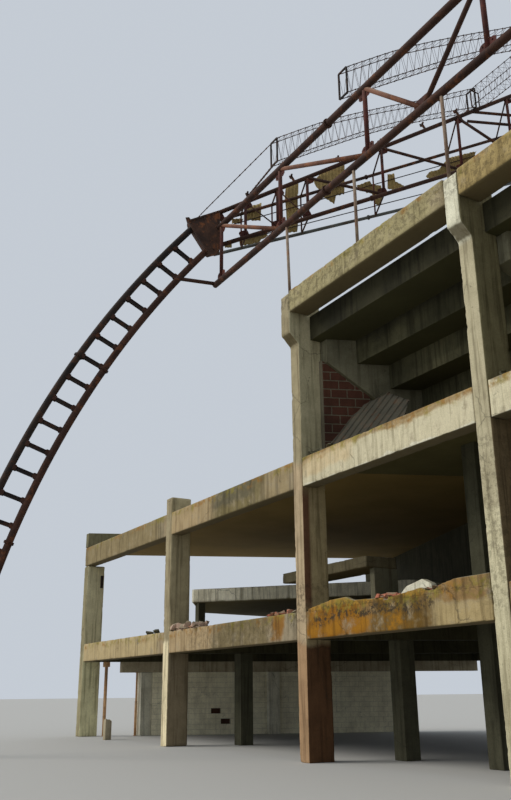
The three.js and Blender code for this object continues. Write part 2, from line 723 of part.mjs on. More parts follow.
const SIDES = ['left', 'right'];
FRAME_X.forEach((x, index) => {
  const leg = cut(joined(ladderLeg(x)), [nodeBox(x, GAP)]);
  addPiece(`ladder_leg_${SIDES[index]}`, toGeometry(mainBody(leg)), 'steel');
});
FRAME_X.forEach((x, index) => {
  const frame = cut(joined(roofFrame(x)), ladderLeg(x, 2 * GAP));
  addPiece(`roof_frame_${SIDES[index]}`, toGeometry(mainBody(frame)), 'steel');
});
const legTools = FRAME_X.flatMap((x) => ladderLeg(x, 2 * GAP));
const frameTools = FRAME_X.flatMap((x) => roofFrame(x, 2 * GAP));
const girder = cut(joined(longGirder()), [...legTools, ...frameTools]);
addPiece('long_girder', toGeometry(mainBody(girder)), 'steel');
POST_X.forEach((x, index) => {
  const foot = x < C3 + COLUMN_WIDTH ? HEAD_TOP : L3_TOP;
  const head = BOTTOM_CHORD_Z - CHORD_RADIUS - GAP;
  const post = bar([x, STEEL_PLANE_Y, foot], [x, STEEL_PLANE_Y, head], POST_RADIUS, 8);
  const lean = index === 0 ? POST_LEAN / (head - foot) : 0;
  addPiece(`girder_post_${index + 1}`, leaning(post, lean, foot), 'steel');
});
const girderTools = [
  bar([FRAME_X[0], STEEL_PLANE_Y, TOP_CHORD_Z], [FRAME_X[1], STEEL_PLANE_Y, TOP_CHORD_Z], CHORD_RADIUS + 2 * GAP),
];
const eaves = cut(joined(eavesLattice()), frameTools);
addPiece('eaves_lattice', toGeometry(mainBody(eaves)), 'steel');
const rafterTools = [...frameTools, ...girderTools, ...eavesLattice(2 * GAP)];
RAFTER_X.forEach((x, index) => {
  const solid = cut(joined(rafter(index)), rafterTools);
  addPiece(`rafter_${index + 1}`, toGeometry(mainBody(solid)), 'steel');
});

addPiece(
  'mezzanine_slab',
  toGeometry(cut(toSolid(plate(MEZZANINE, MEZZANINE_SOFFIT, MEZZANINE_TOP)), [innerColumn(C2, WING_ROW_C, FAR, GAP)])),
  'concrete',
);
POST_CORNERS.forEach(([name, x, y]) => {
  const post = block(x, x + POST_SIZE, y, y + POST_SIZE, L1_TOP, MEZZANINE_SOFFIT);
  addPiece(`mezzanine_post_${name}`, post, 'concrete');
});

addPiece('landing_slab', plate(LANDING, LANDING_SOFFIT, LANDING_TOP), 'concrete');
addPiece('landing_pier', block(...LANDING_PIER, L1_TOP, LANDING_SOFFIT), 'concrete');
addPiece('landing_wall', block(...LANDING_WALL, L1_TOP, LANDING_SOFFIT), 'concrete');

const infillX = C3 + (COLUMN_WIDTH - INFILL_THICK) / 2;
const infillStart = COLUMN_DEPTH + GAP;
const infill = [
  [infillStart, L2_TOP],
  [INFILL_END_Y, L2_TOP],
  [INFILL_END_Y, rakerLow(INFILL_END_Y) - 2 * GAP],
  [infillStart, rakerLow(infillStart) - 2 * GAP],
];
addPiece('brick_infill', slanted(profile(infill, infillX, infillX + INFILL_THICK)), 'brick');

addPiece('broken_parapet', placed(drawn(PARAPET, PARAPET_THICK), [0, PARAPET_THICK, 0], [1, 0, 0], UP), 'concrete');

const sheetLift = SHEET_THICK / Math.hypot(1, SHEET_RISE);
const sheetFront = placed(
  drawn(SHEET_FRONT, SHEET_THICK),
  [0, SHEET_FRONT_Y, L2_TOP + GAP],
  [1, 0, 0],
  [0, 1, SHEET_RISE],
);
const sheetBack = placed(
  drawn(SHEET_BACK, SHEET_THICK),
  [0, SHEET_BACK_Y, L2_TOP + GAP + sheetLift],
  [1, 0, 0],
  [0, -1, SHEET_RISE],
);
addPiece('fallen_sheet', toGeometry(joined([sheetFront, sheetBack])), 'sheet');

// The frame of the model stands on the middle of its own footprint
const bounds = new THREE.Box3().setFromObject(stand);
stand.position.set(-(bounds.min.x + bounds.max.x) / 2, -(bounds.min.y + bounds.max.y) / 2, -bounds.min.z);

export default stand;
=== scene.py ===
# Dressing of the ruined grandstand: weathered concrete, rusted roof steel and what has fallen.
# Lengths are metres. Pieces are drawn in stand coordinates (X along the rear facade from the
# corner of the third column, Y towards the field, Z up) and then moved into the model's frame.
import math
import random

import bmesh
import bpy
from mathutils import Matrix, Vector, kdtree, noise


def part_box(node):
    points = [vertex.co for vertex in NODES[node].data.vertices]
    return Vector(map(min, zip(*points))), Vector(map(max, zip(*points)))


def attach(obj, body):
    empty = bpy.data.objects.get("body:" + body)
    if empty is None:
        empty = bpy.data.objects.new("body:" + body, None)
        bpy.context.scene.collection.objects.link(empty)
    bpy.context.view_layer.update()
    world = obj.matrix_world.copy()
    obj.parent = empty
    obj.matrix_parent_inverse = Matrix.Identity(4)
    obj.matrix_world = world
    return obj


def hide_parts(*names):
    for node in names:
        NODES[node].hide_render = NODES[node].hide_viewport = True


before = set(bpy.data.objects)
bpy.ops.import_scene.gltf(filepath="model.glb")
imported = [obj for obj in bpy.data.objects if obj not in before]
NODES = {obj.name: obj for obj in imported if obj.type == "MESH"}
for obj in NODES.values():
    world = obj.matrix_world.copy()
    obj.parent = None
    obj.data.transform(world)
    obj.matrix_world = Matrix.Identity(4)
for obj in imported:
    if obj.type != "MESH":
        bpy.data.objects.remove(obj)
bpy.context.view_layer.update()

# Stand coordinates
HEAD_REACH = 0.3
column_low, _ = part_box("column_3")
ORIGIN = Vector((column_low[0], column_low[1] + HEAD_REACH, 0.0))
GRID_ANGLE = math.radians(68)
SLANT = 1 / math.tan(GRID_ANGLE)
ALONG = Vector((math.cos(GRID_ANGLE), math.sin(GRID_ANGLE), 0.0))
ACROSS = Vector((-math.sin(GRID_ANGLE), math.cos(GRID_ANGLE), 0.0))
UP = Vector((0.0, 0.0, 1.0))
RIGHT = Vector((1.0, 0.0, 0.0))
INWARD = Vector((0.0, 1.0, 0.0))

# Levels and rows
L1_SOFFIT, L1_TOP = 2.815, 3.51
L2_TOP, L3_TOP = 7.46, 12.26
COLUMN_X = (-16.36, -8.13, 0.0, 6.77, 13.54)
COLUMN_WIDTH, INNER_DEPTH = 0.435, 0.45
TOP_RISER = (10.5, 11.0)

# Roof steel: frame planes, the long girder over the facade and its posts
FRAME_X = (-4.5, 17.9)
FRAME_NAMES = ("left", "right")
TOP_CHORD_Z, BOTTOM_CHORD_Z = 16.8, 14.72
CHORD_RADIUS, WEB_RADIUS, POST_RADIUS = 0.11, 0.065, 0.045
PANEL_X = (-4.16, -0.34, 3.93, 8.22, 12.5, 17.55)
GIRDER_FOOT_X = -4.62
POST_X = (0.06, 3.29, 6.7, 10.17)
POST_LEAN = -0.09
HEAD_DROP = 0.06

# Ladder legs: a circle in the frame's plane
LEG_CENTRE = (21.3, -3.05)
LEG_RADIUS, LEG_DEPTH, LEG_TUBE = 29.28, 0.93, 0.12
LEG_TOP_ANGLE = math.radians(42)
RUNG_TOP, RUNG_STEP, RUNG_COUNT = math.radians(39.92), math.radians(1.6136), 21
RUNG_SIZE = 0.11
STRUT_ANGLE = math.radians(38.36)
LEG_FOOT, FOOT_PLATE = 0.7, 0.05

# Roof frames: each chord is a height at the facade, a slope and an offset behind the frame
ROOF_CHORDS = {
    "top": (17.45, 0.5355, 0.0),
    "bottom": (16.16, 0.42, 0.0),
    "back_top": (17.82, 0.412, 1.2),
    "back_bottom": (16.48, 0.34, 1.2),
}
# Chords tied at each panel: one, the other, paint of the tie
CHORD_PAIRS = (
    ("top", "bottom", 1), ("back_top", "back_bottom", 1),
    ("top", "back_top", 0), ("bottom", "back_bottom", 0),
)
CHORD_STARTS = {"top": -0.7, "bottom": -0.35, "back_top": 0.0, "back_bottom": 0.0}
ROOF_REACH = 14.0
ROOF_TUBE, ROOF_WEB, BACK_TUBE = 0.095, 0.055, 0.07
ROOF_PANELS = (0.0, 1.0, 2.15, 3.25, 6.1, 9.2, 11.3, 14.0)
FIRST_DIAGONAL, THIN_WEB, BACK_WEB = 3, 0.025, 0.03
TIE_START, TIE_HEIGHTS = 9.6, (22.7, 22.25)
NODE_OUTLINE = ((-1.04, 16.99), (-0.33, 15.8), (0.08, 15.96), (0.08, 17.48))
NODE_WIDTH = 0.36

# Lattice rafters and the eaves lattice that they end on
RAFTER_X = (-4.5, -0.23, 8.31, 12.58, 17.9)
BROKEN_RAFTER = 1
RAFTER_TOP = ((-0.65, 17.27), (2.06, 20.64), (4.06, 21.62), (6.21, 22.41), (7.68, 22.88), (9.85, 23.66))
RAFTER_BOTTOM = ((0.7, 17.66), (2.06, 19.66), (4.0, 20.61), (5.95, 21.51), (7.8, 22.19), (9.85, 22.79))
RAFTER_WIDTH, RAFTER_BAR, LACING_BAR, LACING_STEP = 0.42, 0.014, 0.0055, 0.3
RAFTER_JOINT, END_FRAME_BAR = 0.02, 0.05
EAVES_S, EAVES_BOTTOM, EAVES_TOP = 9.85, 22.95, 23.72

# Details of the steel: gussets are thick, then long and wide by place
GUSSET = 0.012
RUNG_GUSSET, PANEL_GUSSET, GIRDER_GUSSET, MIDDLE_GUSSET = (0.2, 0.17), (0.34, 0.26), (0.5, 0.3), (0.6, 0.3)
RUNG_FLANGE, RUNG_WALL, RUNG_HALF_GAP, RUNG_GUSSET_OUT = 0.045, 0.011, 0.022, 0.075
COLLAR_LIP, PLATE_BOLT_IN = 0.035, 0.12
RIM_BAR, RIM_STIFFENER, RIM_INSET = (0.06, 0.024), (0.05, 0.024), 0.05
POST_PLATE = 0.02
LEG_SPLICES = (0.33, 0.67)
ROOF_SPLICES = (0.42,)
GIRDER_SPLICES = (0.3, 0.62)
CLEAT_PLACES = (1.2, 2.8, 4.55, 6.2, 7.9, 9.3)

# What is left of the cladding, as outlines of (distance along the frame, height)
CLADDING_OUT = 1.3
CLADDING_SPAN = (0.3, 10.5)
CLADDING_RAILS = (0.25, 0.78)
CLADDING = (
    [
        (3.8, 19.98), (3.83, 19.76), (4.14, 19.29), (4.56, 18.97), (4.65, 19.38),
        (4.97, 19.41), (5.04, 20.88), (4.5, 20.63), (4.09, 20.32),
    ],
    [
        (2.73, 19.76), (3.21, 19.98), (3.19, 19.3), (2.95, 19.15), (2.94, 18.53), (3.16, 18.51),
        (3.16, 18.12), (3.11, 17.68), (2.73, 17.61), (2.71, 18.47), (2.66, 19.17),
    ],
    [(1.21, 18.62), (1.78, 18.84), (1.74, 18.05), (1.2, 18.01)],
    [(0.67, 18.1), (1.09, 18.12), (1.05, 17.87), (0.67, 17.84)],
    [(0.94, 17.22), (1.39, 17.51), (1.96, 17.64), (2.0, 17.47), (1.61, 17.1), (0.97, 16.93)],
    [(0.4, 17.01), (0.67, 17.08), (0.67, 16.87), (0.41, 16.81)],
    [
        (5.45, 19.9), (6.01, 20.17), (6.05, 20.04), (6.45, 19.98), (6.46, 19.57),
        (6.4, 19.07), (6.16, 19.1), (6.06, 19.54), (5.58, 19.64),
    ],
    [(6.72, 20.51), (7.01, 20.58), (6.99, 20.25), (7.35, 20.06), (7.34, 19.96), (6.89, 19.83), (6.68, 19.82)],
    [
        (8.25, 20.55), (8.43, 20.79), (8.82, 20.92), (9.24, 21.48), (10.47, 21.92),
        (10.36, 21.6), (9.9, 21.15), (9.4, 20.68), (8.9, 20.48), (8.4, 20.4),
    ],
)
CLADDING_PITCH, CLADDING_DEPTH, CLADDING_TEAR = 0.13, 0.03, 0.06

SHEET_THICK = 0.004

# The fallen roofing: two leaning faces, each an outline of (X, distance up the slope)
SHEET_RISE = 1.2
SHEET_FRONT_Y, SHEET_BACK_Y = 0.14, 2.38
SHEET_FRONT = ((1.3, 0), (1.6, 1.75), (2.66, 1.75), (4.13, 0.78), (4.45, 0))
SHEET_BACK = ((1.4, 0), (2.9, 0), (2.66, 1.75), (1.6, 1.75))
SHEET_NORMAL = Vector((0.0, -SHEET_RISE, 1.0)).normalized()
SHEET_PITCH, SHEET_DEPTH, SHEET_TEAR, SHEET_SHARP = 0.38, 0.035, 0.03, 30

# Concrete: where the floors are cut into edge beam and slab, and which nodes keep their shape
BEAM_CUT = 0.4205
WELD = 0.0001
WEAR_NOISE = ((0.6, 1.1), (0.8, 3.7), (0.6, 11))
WEAR_REACH, WEAR_START, WEAR_FLOOR = 2.2, 0.26, 0.04
SHARP_EDGE, EDGE_SPACING = math.radians(30), 0.03
SOFTENED = (
    ("end_upstand", "upstand"), ("seating_bay", "seating"), ("raker", "raker"),
    ("inner_column_1b", "pilaster"), ("inner_column", "inner"),
    ("front_column", "inner"), ("wing_back_column", "inner"), ("wall_lintel", "lintel"),
    ("mezzanine_post", "inner"), ("landing_pier", "inner"), ("landing_wall", "raker"),
    ("field_wall", "inner"),
)

# End wall of hollow block and the brick infill
ROW_C = 7.0
WALL_TOP, WALL_THICK, WALL_START, WALL_END = 2.4, 0.2, 2.6503, 12.3
COURSE, BLOCK_LENGTH = 0.2, 0.4
MISSING_BLOCKS = ((4.9, 0.93), (5.6, 0.5))
INFILL_THICK, BRICK_COURSE, BRICK_LENGTH = 0.2, 0.25, 0.42
INFILL_TUCK = 0.08
# Half a joint's width and how far it is set back
BLOCK_JOINT, BRICK_JOINT = (0.005, 0.007), (0.017, 0.014)
RAKE = 0.7 / 0.84

# Loose pieces: X range, Y range, height they rest on, number, sizes and paint
RUBBLE = (
    ((-7.55, -5.7), (0.06, 0.34), L1_TOP, 30, (0.28, 0.52), 0),
    ((-6.4, -5.9), (0.05, 0.2), L1_TOP, 5, (0.18, 0.3), 1),
    ((-9.85, -9.2), (0.1, 0.3), L1_TOP, 7, (0.16, 0.32), 2),
    ((-1.5, -0.2), (0.06, 0.25), L1_TOP, 16, (0.14, 0.3), 1),
    ((-1.4, -0.3), (0.06, 0.3), L1_TOP, 6, (0.12, 0.24), 0),
    ((0.5, 1.9), (0.1, 0.36), L2_TOP, 30, (0.12, 0.3), 2),
    ((2.6, 3.5), (0.14, 0.3), L1_TOP, 8, (0.1, 0.22), 0),
    ((3.3, 4.05), (0.02, 0.12), 3.55, 10, (0.1, 0.2), 1),
    ((3.2, 4.0), (0.16, 0.4), L1_TOP, 10, (0.2, 0.36), 1),
    ((4.85, 5.25), (0.02, 0.12), 3.57, 8, (0.1, 0.2), 1),
    ((4.8, 5.4), (0.16, 0.4), L1_TOP, 8, (0.2, 0.36), 1),
    ((7.3, 8.0), (0.1, 0.4), L2_TOP, 9, (0.1, 0.26), 2),
)
SLAB_PIECES = (
    ([(3.75, 3.5), (4.95, 3.5), (4.9, 3.72), (4.62, 3.84), (4.1, 3.74)], 0.2, 0.34),
)

# Props under the wing and the bracket on the first column
PROP_SIZE, PROP_Y, PROP_SLEEVE, PROP_PLATE = 0.11, 2.05, 1.3, 0.012
FREE_PROP, FREE_PROP_TOP = (-15.76, 0.95), 2.62
STUMP, STUMP_SIZE, STUMP_TOP = (-13.0, 0.05), 0.23, 0.7
BRACKET_Y, BRACKET_HEIGHTS = 0.5, (5.75, 6.25)

# The photograph's camera
PHOTO_SIZE = (511, 800)
FOCAL_PIXELS = 851.34
SENSOR = 36.0
CAMERA_PLACE = (18.634, -12.034, 1.6)
CAMERA_AZIMUTH = math.radians(-59.69)
CAMERA_PITCH = math.radians(18.947)
CAMERA_ROLL = math.radians(-0.486)

# Light and floor
SUN_WAY, SUN_POWER, SUN_ANGLE = Vector((0.35, 0.65, -0.62)), 2.1, math.radians(35)
SUN_COLOUR = (1.0, 0.97, 0.92)
SKY_COLOUR, SKY_POWER = (0.74, 0.80, 0.88, 1), 0.75
FLOOR_SIZE, FLOOR_COLOUR = 600, (0.42, 0.41, 0.38, 1)


def frame_point(frame_x, s, z, out=0.0):
    return Vector((frame_x, 0.0, z)) + ALONG * s + ACROSS * out


def chord_point(frame_x, chord, s):
    height, slope, out = ROOF_CHORDS[chord]
    return frame_point(frame_x, s, height + slope * s, out)


def chord_axes(frame_x, chord, s):
    """The way a chord runs and the way square to it in the frame's plane."""
    slope = (chord_point(frame_x, chord, s + 1) - chord_point(frame_x, chord, s)).normalized()
    return slope, slope.cross(ACROSS)


def leg_point(frame_x, radius, angle, out=0.0):
    s = LEG_CENTRE[0] - radius * math.cos(angle)
    return frame_point(frame_x, s, LEG_CENTRE[1] + radius * math.sin(angle), out)


def foot_angle(radius):
    return math.asin((FOOT_PLATE / 2 - LEG_CENTRE[1]) / radius)


def circle(radius, sides):
    turns = [2 * math.pi * (i + 0.5) / sides for i in range(sides)]
    return [(radius * math.cos(turn), radius * math.sin(turn)) for turn in turns]


def rectangle(width, height):
    u, v = width / 2, height / 2
    return [(-u, -v), (u, -v), (u, v), (-u, v)]


def channel(height, flange, wall):
    """A channel section, its web at u = 0 and its flanges towards +u."""
    half = height / 2
    return [
        (0, -half), (flange, -half), (flange, wall - half), (wall, wall - half),
        (wall, half - wall), (flange, half - wall), (flange, half), (0, half),
    ]


class Shape:
    """Gathers the faces of one piece in stand coordinates."""

    def __init__(self):
        self.points = []
        self.faces = []
        self.smooth = []
        self.paints = []
        self.paint = 0

    def face(self, corners, smooth=False):
        self.faces.append(tuple(corners))
        self.smooth.append(smooth)
        self.paints.append(self.paint)

    def loft(self, rings, smooth):
        first, count = len(self.points), len(rings[0])
        for ring in rings:
            self.points.extend(ring)
        for i in range(len(rings) - 1):
            for j in range(count):
                a, b = first + i * count + j, first + i * count + (j + 1) % count
                self.face((a, b, b + count, a + count), smooth)
        last = first + (len(rings) - 1) * count
        self.face([first + j for j in reversed(range(count))])
        self.face([last + j for j in range(count)])

    def sweep(self, path, section, up=UP, smooth=False):
        rings = []
        for i, point in enumerate(path):
            along = (path[min(i + 1, len(path) - 1)] - path[max(i - 1, 0)]).normalized()
            side = along.cross(up).normalized()
            rise = side.cross(along)
            rings.append([point + side * u + rise * v for u, v in section])
        self.loft(rings, smooth)

    def tube(self, path, radius, sides=16):
        along = (path[-1] - path[0]).normalized()
        up = RIGHT if abs(along.z) > 0.9 else UP
        self.sweep(path, circle(radius, sides), up, True)

    def bar(self, start, end, section, up=None):
        along = (end - start).normalized()
        self.sweep([start, end], section, up or (RIGHT if abs(along.z) > 0.9 else UP))

    def prism(self, outline, depth):
        """An outline of points pushed out along the vector depth."""
        self.loft([list(outline), [point + depth for point in outline]], False)

    def block(self, x0, x1, y0, y1, z0, z1, slant=0.0):
        """An upright block; with a slant its sides follow the grid direction."""
        corners = [(x0, y0), (x1, y0), (x1, y1), (x0, y1)]
        self.prism([Vector((x + y * slant, y, z0)) for x, y in corners], UP * (z1 - z0))


def settle(piece, nodes):
    """Puts a finished piece on the part's body, in place of the named nodes."""
    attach(piece, "root")
    if nodes:
        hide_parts(*nodes)
    return piece


def link(name, data):
    thing = bpy.data.objects.new(name, data)
    bpy.context.collection.objects.link(thing)
    return thing


def paint_only(mesh, material):
    mesh.materials.clear()
    mesh.materials.append(material)


def add(name, shape, paints, keys, slot, *nodes):
    """Makes the gathered shape an object. Its paint numbers point into the keys."""
    mesh = bpy.data.meshes.new(name)
    mesh.from_pydata([ORIGIN + point for point in shape.points], [], shape.faces)
    mesh.polygons.foreach_set("use_smooth", shape.smooth)
    mesh.polygons.foreach_set("material_index", shape.paints)
    for key in keys.split():
        mesh.materials.append(paints[key])
    tidy = bmesh.new()
    tidy.from_mesh(mesh)
    bmesh.ops.recalc_face_normals(tidy, faces=tidy.faces)
    tidy.to_mesh(mesh)
    tidy.free()
    return settle(link(name, mesh), nodes)


class Graph:
    """Shader nodes of one material, worked out from places in stand coordinates.

    colour holds what the material has been given so far."""

    def __init__(self, name, roughness=0.9):
        self.material = bpy.data.materials.new(name)
        self.material.use_nodes = True
        self.tree = self.material.node_tree
        self.shader = self.tree.nodes["Principled BSDF"]
        self.shader.inputs["Roughness"].default_value = roughness
        self.shader.inputs["Specular IOR Level"].default_value = 0.2
        coordinates = self.tree.nodes.new("ShaderNodeTexCoord")
        self.place = self.vector("SUBTRACT", coordinates.outputs["Object"], ORIGIN)
        self.x, self.y, self.z = self.split(self.place)
        geometry = self.tree.nodes.new("ShaderNodeNewGeometry")
        self.facing_x, self.facing_y, self.facing_z = self.split(geometry.outputs["Normal"])
        self.colour = STONE

    def feed(self, node, key, value):
        if isinstance(value, bpy.types.NodeSocket):
            self.tree.links.new(value, node.inputs[key])
        elif isinstance(value, tuple) and len(value) == 3 and node.inputs[key].type == "RGBA":
            node.inputs[key].default_value = (*value, 1.0)
        else:
            node.inputs[key].default_value = value

    def make(self, kind, inputs, **settings):
        """A new node's outputs, its inputs fed by number or name."""
        node = self.tree.nodes.new("ShaderNode" + kind)
        for key, value in settings.items():
            setattr(node, key, value)
        for key, value in inputs.items():
            self.feed(node, key, value)
        return node.outputs

    def split(self, socket):
        return self.make("SeparateXYZ", {0: socket})[:3]

    def vector(self, operation, a, b):
        return self.make("VectorMath", {0: a, 1: b}, operation=operation)[0]

    def math(self, operation, a, b=0.0):
        return self.make("Math", {0: a, 1: b}, operation=operation)[0]

    def times(self, *values):
        result = values[0]
        for value in values[1:]:
            result = self.math("MULTIPLY", result, value)
        return result

    def step(self, value, start, end):
        """0 before start, 1 after end, smooth between; start may lie above end."""
        inputs = {"Value": value, "From Min": start, "From Max": end}
        return self.make("MapRange", inputs, interpolation_type="SMOOTHSTEP")[0]

    def band(self, value, low, high, edge):
        above, below = self.step(value, low - edge, low + edge), self.step(value, high + edge, high - edge)
        return self.times(above, below)

    def scaled(self, stretch, seed=0.0):
        moved = self.vector("ADD", self.place, (seed, seed * 1.7, seed * 2.3))
        return self.vector("MULTIPLY", moved, stretch)

    def noise(self, scale, detail=3.0, rough=0.55, stretch=(1.0, 1.0, 1.0), seed=0.0, output="Fac"):
        place = self.scaled(stretch, seed)
        inputs = {"Vector": place, "Scale": scale, "Detail": detail, "Roughness": rough}
        return self.make("TexNoise", inputs)[output]

    def cells(self, scale, feature="F1", seed=0.0, wander=0.0):
        place = self.scaled((1.0, 1.0, 1.0), seed)
        if wander:
            drift = self.vector("MULTIPLY", self.noise(1.5, 4, 0.6, output="Color"), (wander, wander, wander))
            place = self.vector("ADD", place, drift)
        return self.make("TexVoronoi", {"Vector": place, "Scale": scale}, feature=feature)["Distance"]

    def mix(self, factor, a, b, blend="MIX"):
        return self.make("Mix", {0: factor, 6: a, 7: b}, data_type="RGBA", blend_type=blend)[2]

    def coat(self, tint, *factors):
        """Lays a colour over what is there, as far as the factors together say."""
        self.colour = self.mix(self.times(*factors), self.colour, tint)

    def stain(self, tint, *factors):
        """Multiplies what is there by a tint, as far as the factors together say."""
        self.coat(self.mix(1.0, self.colour, tint, "MULTIPLY"), *factors)

    def finish(self, height, depth):
        self.feed(self.shader, "Base Color", self.colour)
        bump = self.make("Bump", {"Height": height, "Distance": depth, "Strength": 1.0})
        self.feed(self.shader, "Normal", bump[0])
        return self.material


# Colours of the weathered surfaces, linear
BEIGE = (0.36, 0.29, 0.185)
STONE = (0.29, 0.245, 0.16)
UMBER = (0.2, 0.165, 0.1)
SLATE = (0.115, 0.108, 0.078)
MAROON = (0.12, 0.034, 0.018)
OCHRE = (0.34, 0.165, 0.028)
RUST_ORANGE = (0.42, 0.19, 0.012)
LICHEN = (0.27, 0.225, 0.035)
SOOT = (0.03, 0.028, 0.02)
# colour of undersides: dirt together with painted shade
SOFFIT_DIRT_AND_SHADE = (0.13, 0.1, 0.048)
BLACK_GROWTH = (0.045, 0.033, 0.018)

# What has changed the colour of the beams, stains and one painted highlight: colour, strength, X range, Z
# range, soft edge
BEAM_STAINS_AND_HIGHLIGHT = (
    ((0.29, 0.22, 0.1), 0.8, (-16.5, -8.6), (6.6, 7.6), 0.5),
    ((0.48, 0.35, 0.18), 0.85, (-8.2, -4.4), (6.6, 7.6), 0.4),
    ((0.21, 0.165, 0.06), 0.85, (-4.4, -1.5), (6.6, 7.6), 0.4),
    (SLATE, 0.6, (-4.6, -2.0), (7.0, 7.6), 0.35),
    ((0.38, 0.29, 0.15), 0.8, (-1.5, 0.0), (6.6, 7.6), 0.3),
    ((0.72, 0.65, 0.44), 0.95, (0.3, 13.6), (6.5, 7.42), 0.12),
    ((0.56, 0.43, 0.22), 0.85, (-16.5, -8.4), (2.7, 3.6), 0.3),
    ((0.5, 0.36, 0.19), 0.85, (-8.2, -4.4), (2.7, 3.6), 0.3),
    ((0.21, 0.16, 0.07), 0.85, (-4.4, -1.2), (2.7, 3.6), 0.4),
    ((0.3, 0.13, 0.012), 0.9, (-1.2, -0.62), (2.9, 3.55), 0.16),
    ((0.29, 0.118, 0.002), 0.97, (0.4, 2.9), (2.75, 3.6), 0.3),
    ((0.145, 0.077, 0.008), 0.95, (2.9, 5.0), (2.75, 3.6), 0.3),
    ((0.4, 0.22, 0.03), 0.9, (0.7, 5.0), (3.5, 3.9), 0.15),
    ((0.3, 0.17, 0.05), 0.8, (4.9, 6.8), (3.3, 4.1), 0.15),
    ((0.47, 0.355, 0.165), 0.9, (5.0, 13.6), (2.7, 3.3), 0.25),
    ((0.44, 0.38, 0.19), 0.85, (-0.5, 6.5), (11.5, 12.3), 0.6),
    ((0.46, 0.34, 0.13), 0.85, (7.0, 13.6), (11.5, 12.3), 0.4),
    ((0.32, 0.18, 0.045), 0.7, (0.5, 6.8), (7.3, 7.5), 0.12),
    ((0.68, 0.52, 0.29), 0.7, (0.4, 2.6), (6.95, 7.4), 0.25),
    # painted highlight: a thin light band along the foot of the upper beam stands for a lit lip
    ((0.8, 0.76, 0.58), 0.9, (0.45, 13.6), (6.64, 6.72), 0.05),
)

# Columns, told apart by their X, with stains together with painted light and shade set face by face (a sunlit
# head, lit and shaded sides): colour, strength, side ("front" or "side"), X range, Z range
COLUMN_STAINS_AND_LIGHT = (
    ((0.36, 0.32, 0.18), 0.9, "front", (-16.6, -15.0), (0.0, 3.2)),
    ((0.29, 0.255, 0.14), 0.9, "front", (-16.6, -15.0), (3.2, 8.1)),
    ((0.85, 0.8, 0.47), 0.9, "side", (-16.6, -15.0), (-0.2, 3.2)),
    ((0.8, 0.73, 0.46), 0.9, "side", (-16.6, -15.0), (3.2, 8.1)),
    ((0.9, 0.78, 0.5), 0.92, "front", (-8.4, -7.0), (-0.2, 3.2)),
    ((0.41, 0.34, 0.2), 0.85, "front", (-8.4, -7.0), (3.2, 8.1)),
    ((0.25, 0.195, 0.115), 0.85, "side", (-8.4, -7.0), (-0.2, 3.2)),
    ((0.52, 0.44, 0.26), 0.85, "side", (-8.4, -7.0), (3.2, 8.1)),
    ((0.41, 0.25, 0.13), 0.9, "front", (-0.3, 1.0), (-0.2, 2.8)),
    ((0.52, 0.395, 0.24), 0.9, "front", (-0.3, 1.0), (2.8, 7.4)),
    ((0.38, 0.32, 0.19), 0.9, "front", (-0.3, 1.0), (7.4, 12.4)),
    ((0.1, 0.042, 0.015), 0.95, "side", (-0.3, 1.0), (-0.2, 2.75)),
    ((0.44, 0.345, 0.175), 0.85, "side", (-0.3, 1.0), (2.75, 7.4)),
    ((0.62, 0.56, 0.35), 0.85, "side", (-0.3, 1.0), (7.4, 12.4)),
    ((0.66, 0.6, 0.39), 0.9, "front", (6.5, 14.2), (-0.2, 5.0)),
    ((0.54, 0.48, 0.31), 0.9, "front", (6.5, 14.2), (5.0, 10.7)),
    ((0.85, 0.82, 0.62), 0.95, "front", (6.5, 14.2), (10.7, 12.4)),
    ((0.2, 0.175, 0.085), 0.9, "side", (6.5, 14.2), (-0.2, 12.4)),
    (MAROON, 0.4, "side", (6.5, 8.0), (-0.2, 7.0)),
)
# The red strip on the third column: X, Y and Z range
MAROON_STRIP = ((-0.1, 0.6), (-0.4, 0.2), (3.55, 6.6))
# Black spots on beams and columns: X range, Z range, strength
SPOTTED = (
    ((0.9, 5.0), (3.16, 3.4), 0.92),
    ((0.5, 6.4), (3.46, 3.6), 0.6),
    ((-6.5, -1.0), (2.9, 3.5), 0.3),
    ((-0.3, 0.45), (3.2, 4.2), 0.5),
    ((6.7, 7.3), (3.0, 6.4), 0.35),
    ((-0.4, 13.6), (11.7, 12.2), 0.4),
)


def stain_beams_and_highlight(graph, spread, lift, medium):
    near_front = graph.step(graph.y, 0.6, 0.44)
    for tint, strength, xs, zs, edge in BEAM_STAINS_AND_HIGHLIGHT:
        inside = graph.times(graph.band(spread, *xs, edge), graph.band(lift, *zs, edge * 0.3), near_front)
        graph.coat(tint, inside, graph.step(medium, 0.24, 0.5), strength)
    for level in (L1_TOP, L2_TOP, L3_TOP):
        edge_band = graph.band(lift, level - 0.2, level + 0.2, 0.09)
        tint = graph.mix(graph.step(graph.noise(0.9, 3, 0.6, seed=4.2), 0.46, 0.56), LICHEN, OCHRE)
        graph.coat(tint, edge_band, graph.step(graph.noise(3.4, 4, 0.7, seed=1.2), 0.45, 0.62), 0.75)
    orange = graph.times(graph.band(spread, 0.6, 4.3, 0.4), graph.band(lift, 2.85, 3.2, 0.12), near_front)
    graph.coat(RUST_ORANGE, orange, graph.step(medium, 0.42, 0.6), 0.85)


